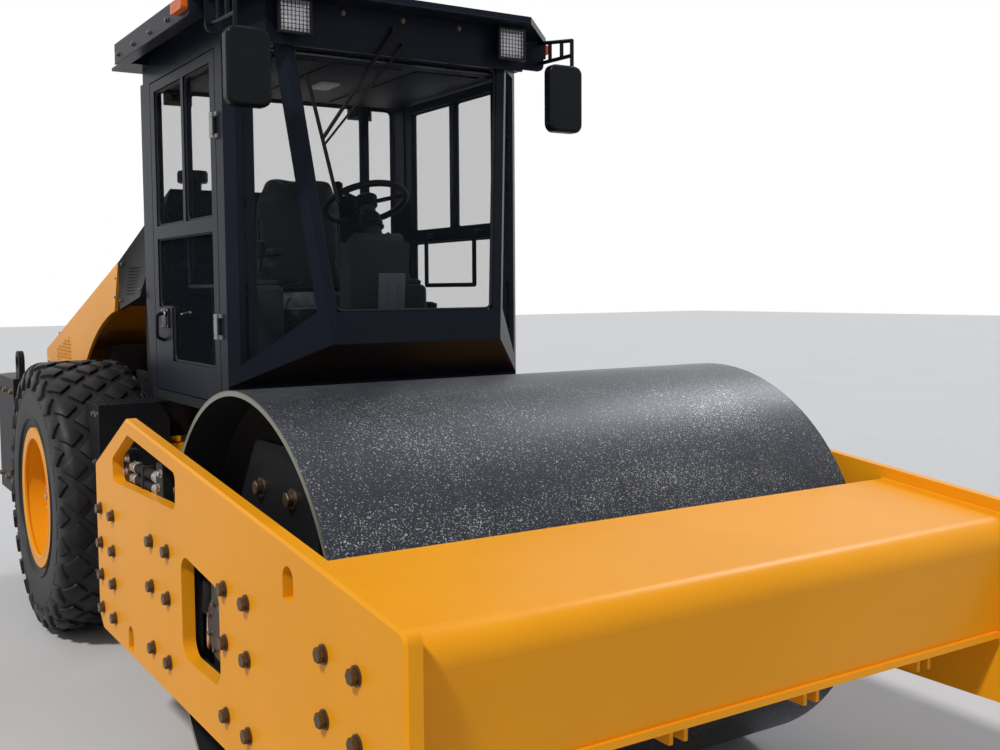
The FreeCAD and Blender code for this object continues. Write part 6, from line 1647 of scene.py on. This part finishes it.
@dataclass
class MirrorGlass(Trim):
    """Silvered glass in the rear faces of the mirrors."""

    side: float = 0.752
    middle_z: float = 2.727
    half_wide: float = 0.080
    half_tall: float = 0.138
    rear_x: float = 0.932

    def build(self) -> None:
        """Makes both mirror glasses and their frames."""
        glass = bmesh.new()
        frame = bmesh.new()
        for sign in (-1, 1):
            y = sign * self.side
            corners = [(self.rear_x, y - self.half_wide, self.middle_z - self.half_tall),
                       (self.rear_x, y + self.half_wide, self.middle_z - self.half_tall),
                       (self.rear_x, y + self.half_wide, self.middle_z + self.half_tall),
                       (self.rear_x, y - self.half_wide, self.middle_z + self.half_tall)]
            path = curved(corners, 0.05, 6, closed=True)
            add_prism(glass, path, (-0.0022, 0, 0))
            add_tube(frame, path, 0.004, 8, closed=True)
        self.piece("mirror_panes", glass, "mirror_glass", Part.REAR)
        self.piece("mirror_frames", frame, "seal_rubber", Part.REAR)


# Rear

@dataclass
class HoodTrim(Trim):
    """Handle, latches, seams and grille mesh of the hood."""

    half: float = 0.750
    rear_x: float = -2.945
    low_z: float = 1.370

    def build(self) -> None:
        """Makes the hood's trim."""
        mesh = bmesh.new()
        for sign in (-1, 1):
            y = sign * (self.half - 0.0225)
            low, high = sorted((y - 0.002, y + 0.002))
            for step in range(30):
                x = self.rear_x + 0.300 + 0.016 * step
                add_block(mesh, (x, low, 1.412), (x + 0.0035, high, 1.612))
            for step in range(13):
                z = 1.414 + 0.016 * step
                add_block(mesh, (self.rear_x + 0.298, low, z), (self.rear_x + 0.776, high, z + 0.0035))
        self.piece("hood_grille_mesh", mesh, "black_plastic", Part.HOOD)
        seams = bmesh.new()
        for sign in (-1, 1):
            y = sign * (self.half - 0.0005)
            add_tube(seams, curved([(self.rear_x + 0.02, y, self.low_z + 0.016), (-1.955, y, self.low_z + 0.016)],
                                   0.02), 0.004, 8)
            edge = [(self.rear_x + 0.020, sign * 0.742, 1.4945), (-1.030, sign * 0.742, 2.0265)]
            add_tube(seams, edge, 0.0055, 8)
        self.piece("hood_edge_beads", seams, "frame_yellow", Part.HOOD, crease=60.0)
        handle = bmesh.new()
        grip = [(self.rear_x + 0.003, -0.09, 1.420), (self.rear_x - 0.024, -0.09, 1.420),
                (self.rear_x - 0.024, 0.09, 1.420), (self.rear_x + 0.003, 0.09, 1.420)]
        add_tube(handle, curved(grip, 0.02), 0.008, 12)
        for y in (-0.45, 0.45):
            add_block(handle, (self.rear_x - 0.012, y - 0.035, 1.395), (self.rear_x + 0.003, y + 0.035, 1.450), 0.004)
            add_block(handle, (self.rear_x - 0.020, y - 0.008, 1.385), (self.rear_x - 0.010, y + 0.008, 1.440), 0.003)
        for row in range(9):
            z = 1.385 + 0.010 * row
            add_block(handle, (self.rear_x - 0.003, -0.36, z), (self.rear_x + 0.003, -0.14, z + 0.004), 0.001, 1)
            add_block(handle, (self.rear_x - 0.003, 0.14, z), (self.rear_x + 0.003, 0.36, z + 0.004), 0.001, 1)
        self.piece("hood_latches", handle, "gloss_black", Part.HOOD)
        bolts = bmesh.new()
        for sign in (-1, 1):
            for x, z in ((-1.075, 1.952), (-1.100, 1.850), (-2.900, 1.410), (-2.560, 1.398), (-2.200, 1.398)):
                add_bolts(bolts, [(x, sign * (self.half - 0.001), z)], (0, sign, 0), 0.015)
        self.piece("hood_screws", bolts, "bright_bolt", Part.HOOD)


@dataclass
class CowlTrim(Trim):
    """Louvres and screws of the black cowl, and ribs round the air cleaner's cap."""

    half_low: float = 0.750
    half_high: float = 0.580

    def side_point(self, x: float, share: float, sign: int) -> Vector:
        """A point on the cowl's sloping side, from its foot at 0 to its top at 1."""
        along = (x + 1.012) / (-0.618 + 1.012)
        low_z = 1.781 + along * (1.849 - 1.781)
        high_z = 2.035 + along * (2.400 - 2.035)
        high_y = self.half_low + along * (self.half_high - self.half_low)
        return Vector((x, sign * (self.half_low + share * (high_y - self.half_low)), low_z + share * (high_z - low_z)))

    def build(self) -> None:
        """Makes the cowl's trim."""
        louvres = bmesh.new()
        bolts = bmesh.new()
        for sign in (-1, 1):
            up = (self.side_point(-0.75, 0.9, sign) - self.side_point(-0.75, 0.1, sign)).normalized()
            out = Vector((1, 0, 0)).cross(up) * (-sign)
            out = out if out.y * sign > 0 else -out
            for step in range(9):
                near = self.side_point(-0.900, 0.20 + 0.05 * step, sign)
                far = self.side_point(-0.700, 0.20 + 0.05 * step, sign)
                far.z, far.y = near.z, near.y + (far.y - near.y) * 0.5
                add_tube(louvres, [tuple(near + out * 0.001), tuple(far + out * 0.001)], 0.006, 8)
            for x, share in ((-0.650, 0.08), (-0.650, 0.5), (-0.650, 0.92), (-0.980, 0.15), (-0.980, 0.85)):
                spot = self.side_point(x, share, sign)
                add_bolt(bolts, aim(tuple(spot), tuple(out)), 0.014, 0.009, 0.011)
        self.piece("cowl_louvres", louvres, "black_plastic", Part.REAR, crease=60.0)
        self.piece("cowl_screws", bolts, "bolt_steel", Part.REAR)
        cap = bmesh.new()
        spot = (-0.678, -0.440, 2.440)
        for step in range(16):
            angle = math.tau * step / 16
            x, y = spot[0] + 0.0755 * math.cos(angle), spot[1] + 0.0755 * math.sin(angle)
            add_round(cap, (x, y, 2.446), (x, y, 2.492), 0.003, segments=8)
        self.piece("air_cleaner_ribs", cap, "black_plastic", Part.REAR)


@dataclass
class CounterTrim(Trim):
    """Bolts, reflectors, a round plate at the tow pin and liners in the lifting eyes of the counterweight."""

    rear_x: float = -2.978
    half: float = 1.080

    def build(self) -> None:
        """Makes the counterweight's trim."""
        bolts = bmesh.new()
        for sign in (-1, 1):
            add_bolts(bolts, [(x, sign * (self.half - 0.0005), z) for x in (-2.40, -2.62, -2.84) for z in (0.68, 1.25)],
                      (0, sign, 0), 0.030)
        self.piece("counterweight_bolts", bolts, "bolt_steel", Part.REAR)
        marks = bmesh.new()
        for sign in (-1, 1):
            add_block(marks, (self.rear_x + 0.0002, sign * 0.70 - 0.045, 1.155),
                      (self.rear_x + 0.007, sign * 0.70 + 0.045, 1.205), 0.002)
        self.piece("rear_reflectors", marks, "red_lens", Part.REAR)
        steel = bmesh.new()
        x = self.rear_x + 0.055
        add_round(steel, (x, 0, 0.805), (x, 0, 0.812), 0.034, round_off=0.002)
        for sign in (-1, 1):
            y = sign * 1.0125
            add_lathe(steel, [(-0.0185, 0.0375), (0.0185, 0.0375), (0.0185, 0.046), (-0.0185, 0.046)],
                      aim((-2.460, y, 1.435), (0, 1, 0)), 40, True)
        self.piece("lifting_eye_liners", steel, "dark_paint", Part.REAR)


@dataclass
class EngineTrim(Trim):
    """Covers, ribs, two round discs and a pipe round the engine block, the fan, and the radiator's core and cap."""

    half: float = 0.320
    front_x: float = -1.330
    rear_x: float = -2.290

    def build(self) -> None:
        """Makes the engine's trim."""
        iron = bmesh.new()
        for step in range(6):
            x = self.front_x - 0.135 - 0.135 * step
            z = 1.3655
            add_block(iron, (x - 0.055, -0.13, z - 0.012), (x + 0.055, 0.13, z + 0.020), 0.010, 2)
        add_tube(iron, curved([(-1.42, 0.26, 1.345), (-1.42, 0.26, 1.380), (-2.15, 0.26, 1.380),
                               (-2.22, 0.26, 1.330)], 0.05), 0.026, 14)
        add_round(iron, (-2.290, 0.0, 1.180), (-2.318, 0.0, 1.180), 0.075, round_off=0.004)
        add_round(iron, (-2.290, 0.18, 1.290), (-2.318, 0.18, 1.290), 0.045, round_off=0.004)
        for step in range(12):
            z = 1.140 + 0.018 * step
            add_block(iron, (-2.10, self.half - 0.002, z), (-1.50, self.half + 0.006, z + 0.006), 0.001, 1)
            add_block(iron, (-2.10, -self.half - 0.006, z), (-1.50, -self.half + 0.002, z + 0.006), 0.001, 1)
        self.piece("engine_covers", iron, "engine_iron", Part.REAR, crease=45.0)
        fan = bmesh.new()
        centre = aim((-2.395, 0.0, 1.330), (-1, 0, 0))
        add_lathe(fan, [(-0.030, 0.0), (-0.030, 0.050), (0.030, 0.045), (0.030, 0.0)], centre, 28)
        for step in range(7):
            own = bmesh.new()
            add_prism(own, [(0.040, -0.035, -0.004), (0.170, -0.050, -0.018), (0.178, 0.045, 0.014),
                            (0.040, 0.030, 0.012)], (0, 0, 0.004))
            join(fan, own, centre @ Matrix.Rotation(math.tau * step / 7, 4, "Z"))
        add_round(fan, (-2.300, 0.0, 1.330), (-2.400, 0.0, 1.330), 0.022)
        self.piece("cooling_fan", fan, "black_plastic", Part.REAR)
        core = bmesh.new()
        for step in range(40):
            y = -0.39 + 0.020 * step
            add_block(core, (-2.562, y, 1.345), (-2.5575, y + 0.006, 1.510))
        add_round(core, (-2.620, 0.30, 1.519), (-2.620, 0.30, 1.531), 0.030, round_off=0.003)
        self.piece("radiator_fins", core, "engine_iron", Part.REAR)


@dataclass
class ChassisTrim(Trim):
    """Treads, bolts and pipes of the rear frame and its axle."""

    axle_x: float = -1.357
    axle_z: float = 0.748

    def build(self) -> None:
        """Makes the trim of the rear frame."""
        treads = bmesh.new()
        for sign in (-1, 1):
            for row in range(8):
                for column in range(10):
                    x = -0.520 - 0.030 * row
                    y = sign * (0.675 + 0.034 * column)
                    lean = 0.785 if (row + column) % 2 else -0.785
                    own = aim((x, y, 1.3195), (0, 0, 1), lean)
                    add_block(treads, (-0.011, -0.0035, 0.0), (0.011, 0.0035, 0.0035), 0.001, 1, own)
        self.piece("step_treads", treads, "dark_paint", Part.REAR)
        bolts = bmesh.new()
        for sign in (-1, 1):
            add_bolts(bolts, [(x, sign * 0.9995, z) for x in (-0.53, -0.60) for z in (1.03, 1.27)], (0, sign, 0), 0.022)
        cover = (self.axle_x - 0.2345, 0.0, self.axle_z)
        spots = [(cover[0] + 0.04, 0.16 * math.cos(a), cover[2] + 0.16 * math.sin(a))
                 for a in (math.tau * step / 10 for step in range(10))]
        add_bolts(bolts, spots, (-1, 0, 0), 0.022)
        self.piece("rear_frame_bolts", bolts, "bolt_steel", Part.REAR)
        lines = bmesh.new()
        for shift in (0.0, 0.028):
            path = [(self.axle_x + 0.05 + shift, 0.16, 0.93), (self.axle_x + 0.09 + shift, 0.20, 1.02),
                    (self.axle_x + 0.30, 0.22 + shift, 1.05), (-0.60, 0.22 + shift, 1.05), (-0.54, 0.22 + shift, 0.98)]
            add_tube(lines, curved(path, 0.05, 5), 0.010, 10)
        self.piece("axle_pipes", lines, "seal_rubber", Part.REAR, crease=60.0)


@dataclass
class CylinderTrim(SideTrim):
    """Gland nuts, ports and caps of the steering cylinders."""

    height: float = 0.750

    def build(self) -> None:
        """Makes the trim of one steering cylinder."""
        anchor = Vector((-0.560, self.sign * 0.225, self.height))
        lug = Vector((0.060, self.sign * 0.205, self.height))
        run = (lug - anchor).normalized()
        mesh = bmesh.new()
        add_lathe(mesh, [(0.345, 0.041), (0.345, 0.0455), (0.383, 0.0455), (0.383, 0.041)],
                  aim(tuple(anchor), run), 32, True)
        for along in (0.110, 0.350):
            foot = anchor + run * along
            add_round(mesh, tuple(foot + Vector((0, 0, 0.038))), tuple(foot + Vector((0, 0, 0.066))), 0.013, segments=6)
            add_round(mesh, tuple(foot + Vector((0, 0, 0.062))), tuple(foot + Vector((0, 0, 0.080))), 0.009)
        body = "steer_barrel_" + self.side.word[0]
        self.piece("cylinder_ports", mesh, "bolt_steel", body)


# Studio

@dataclass(frozen=True)
class View:
    """The camera, as solved from the photograph's frame of 1000 by 750."""

    place: Point = (5.033, -2.322, 1.875)
    yaw: float = 148.35
    pitch: float = -3.96
    roll: float = -0.51
    focal_pixels: float = 1107.4
    centre_x: float = 460.8
    centre_y: float = 365.6
    width: float = 1000.0
    height: float = 750.0
    sensor: float = 36.0

    def build(self) -> None:
        """Makes the camera and hands it to the scene."""
        data = bpy.data.cameras.new("camera")
        data.sensor_width = self.sensor
        data.lens = self.focal_pixels * self.sensor / self.width
        data.shift_x = (self.width / 2 - self.centre_x) / self.width
        data.shift_y = (self.centre_y - self.height / 2) / self.width
        data.clip_end = 200.0
        camera = bpy.data.objects.new("camera", data)
        turn = Matrix.Rotation(math.radians(self.yaw - 90.0), 4, "Z")
        turn = turn @ Matrix.Rotation(math.radians(90.0 + self.pitch), 4, "X")
        turn = turn @ Matrix.Rotation(math.radians(self.roll), 4, "Z")
        camera.matrix_world = Matrix.Translation(self.place) @ turn
        bpy.context.scene.collection.objects.link(camera)
        bpy.context.scene.camera = camera


@dataclass
class Studio:
    """Pale floor, white surroundings and soft lamps."""

    floor_half: float = 60.0
    sun_strength: float = 2.2
    side_strength: float = 0.7
    sky_strength: float = 0.42

    def floor(self) -> None:
        """Makes the floor."""
        mesh = bmesh.new()
        bmesh.ops.create_grid(mesh, x_segments=1, y_segments=1, size=self.floor_half)
        data = bpy.data.meshes.new("floor")
        mesh.to_mesh(data)
        mesh.free()
        thing = bpy.data.objects.new("floor", data)
        bpy.context.scene.collection.objects.link(thing)
        material = bpy.data.materials.new("floor_pale")
        material.use_nodes = True
        shader = Shader(material.node_tree)
        principled = material.node_tree.nodes["Principled BSDF"]
        tone = shader.noise(shader.node("ShaderNodeTexCoord").outputs["Object"], 0.6, 5.0, 0.6)
        shader.feed(principled.inputs["Base Color"], shader.mix(tone, rgba((0.52, 0.52, 0.53)), rgba((0.58, 0.58, 0.58))))
        principled.inputs["Roughness"].default_value = 0.9
        data.materials.append(material)

    def sky(self) -> None:
        """Makes the surroundings: soft light, and white where they are seen."""
        world = bpy.data.worlds.new("studio")
        bpy.context.scene.world = world
        world.use_nodes = True
        world.node_tree.nodes.clear()
        shader = Shader(world.node_tree)
        path = shader.node("ShaderNodeLightPath").outputs
        seen = shader.math("MAXIMUM", path["Is Camera Ray"], path["Is Transmission Ray"])
        seen = shader.math("MAXIMUM", seen, path["Is Glossy Ray"])
        lit = shader.node("ShaderNodeBackground", {"Color": (0.86, 0.92, 1.0, 1.0), "Strength": self.sky_strength})
        white = shader.node("ShaderNodeBackground", {"Color": (1.0, 1.0, 1.0, 1.0), "Strength": 1.0})
        both = shader.node("ShaderNodeMixShader", {0: seen, 1: lit.outputs[0], 2: white.outputs[0]})
        shader.node("ShaderNodeOutputWorld", {"Surface": both.outputs[0]})

    def lamp(self, name: str, aim: Point, strength: float, spread: float, colour: Colour) -> None:
        """Makes a far lamp that shines along a direction."""
        data = bpy.data.lights.new(name, "SUN")
        data.energy = strength
        data.angle = math.radians(spread)
        data.color = colour
        thing = bpy.data.objects.new(name, data)
        thing.rotation_euler = Vector(aim).to_track_quat("-Z", "Y").to_euler()
        bpy.context.scene.collection.objects.link(thing)

    def build(self) -> None:
        """Makes the whole studio."""
        self.floor()
        self.sky()
        self.lamp("key", (-0.30, 0.55, -0.78), self.sun_strength, 5.0, (1.0, 0.97, 0.93))
        self.lamp("side", (0.26, -0.70, -0.67), self.side_strength, 12.0, (0.95, 0.97, 1.0))
        bpy.context.scene.view_settings.view_transform = "Standard"


def main() -> None:
    """Builds the machine in order."""
    logging.basicConfig(level=logging.INFO, format="%(name)s %(message)s")
    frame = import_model()
    View().build()
    shop = Workshop(frame)
    shop.dress_nodes()
    for side in Side:
        for trim in (Tyre, WheelTrim, DrumTrim, HoseRun, MotorTrim, DoorTrim, CylinderTrim):
            trim(shop, side).build()
    for trim in (FrontTrim, Panes, Seat, Controls, RoofTrim, LampTrim, MirrorGlass, HoodTrim, CowlTrim, CounterTrim,
                 EngineTrim, ChassisTrim):
        trim(shop).build()
    Studio().build()


if __name__ == "__main__":
    main()
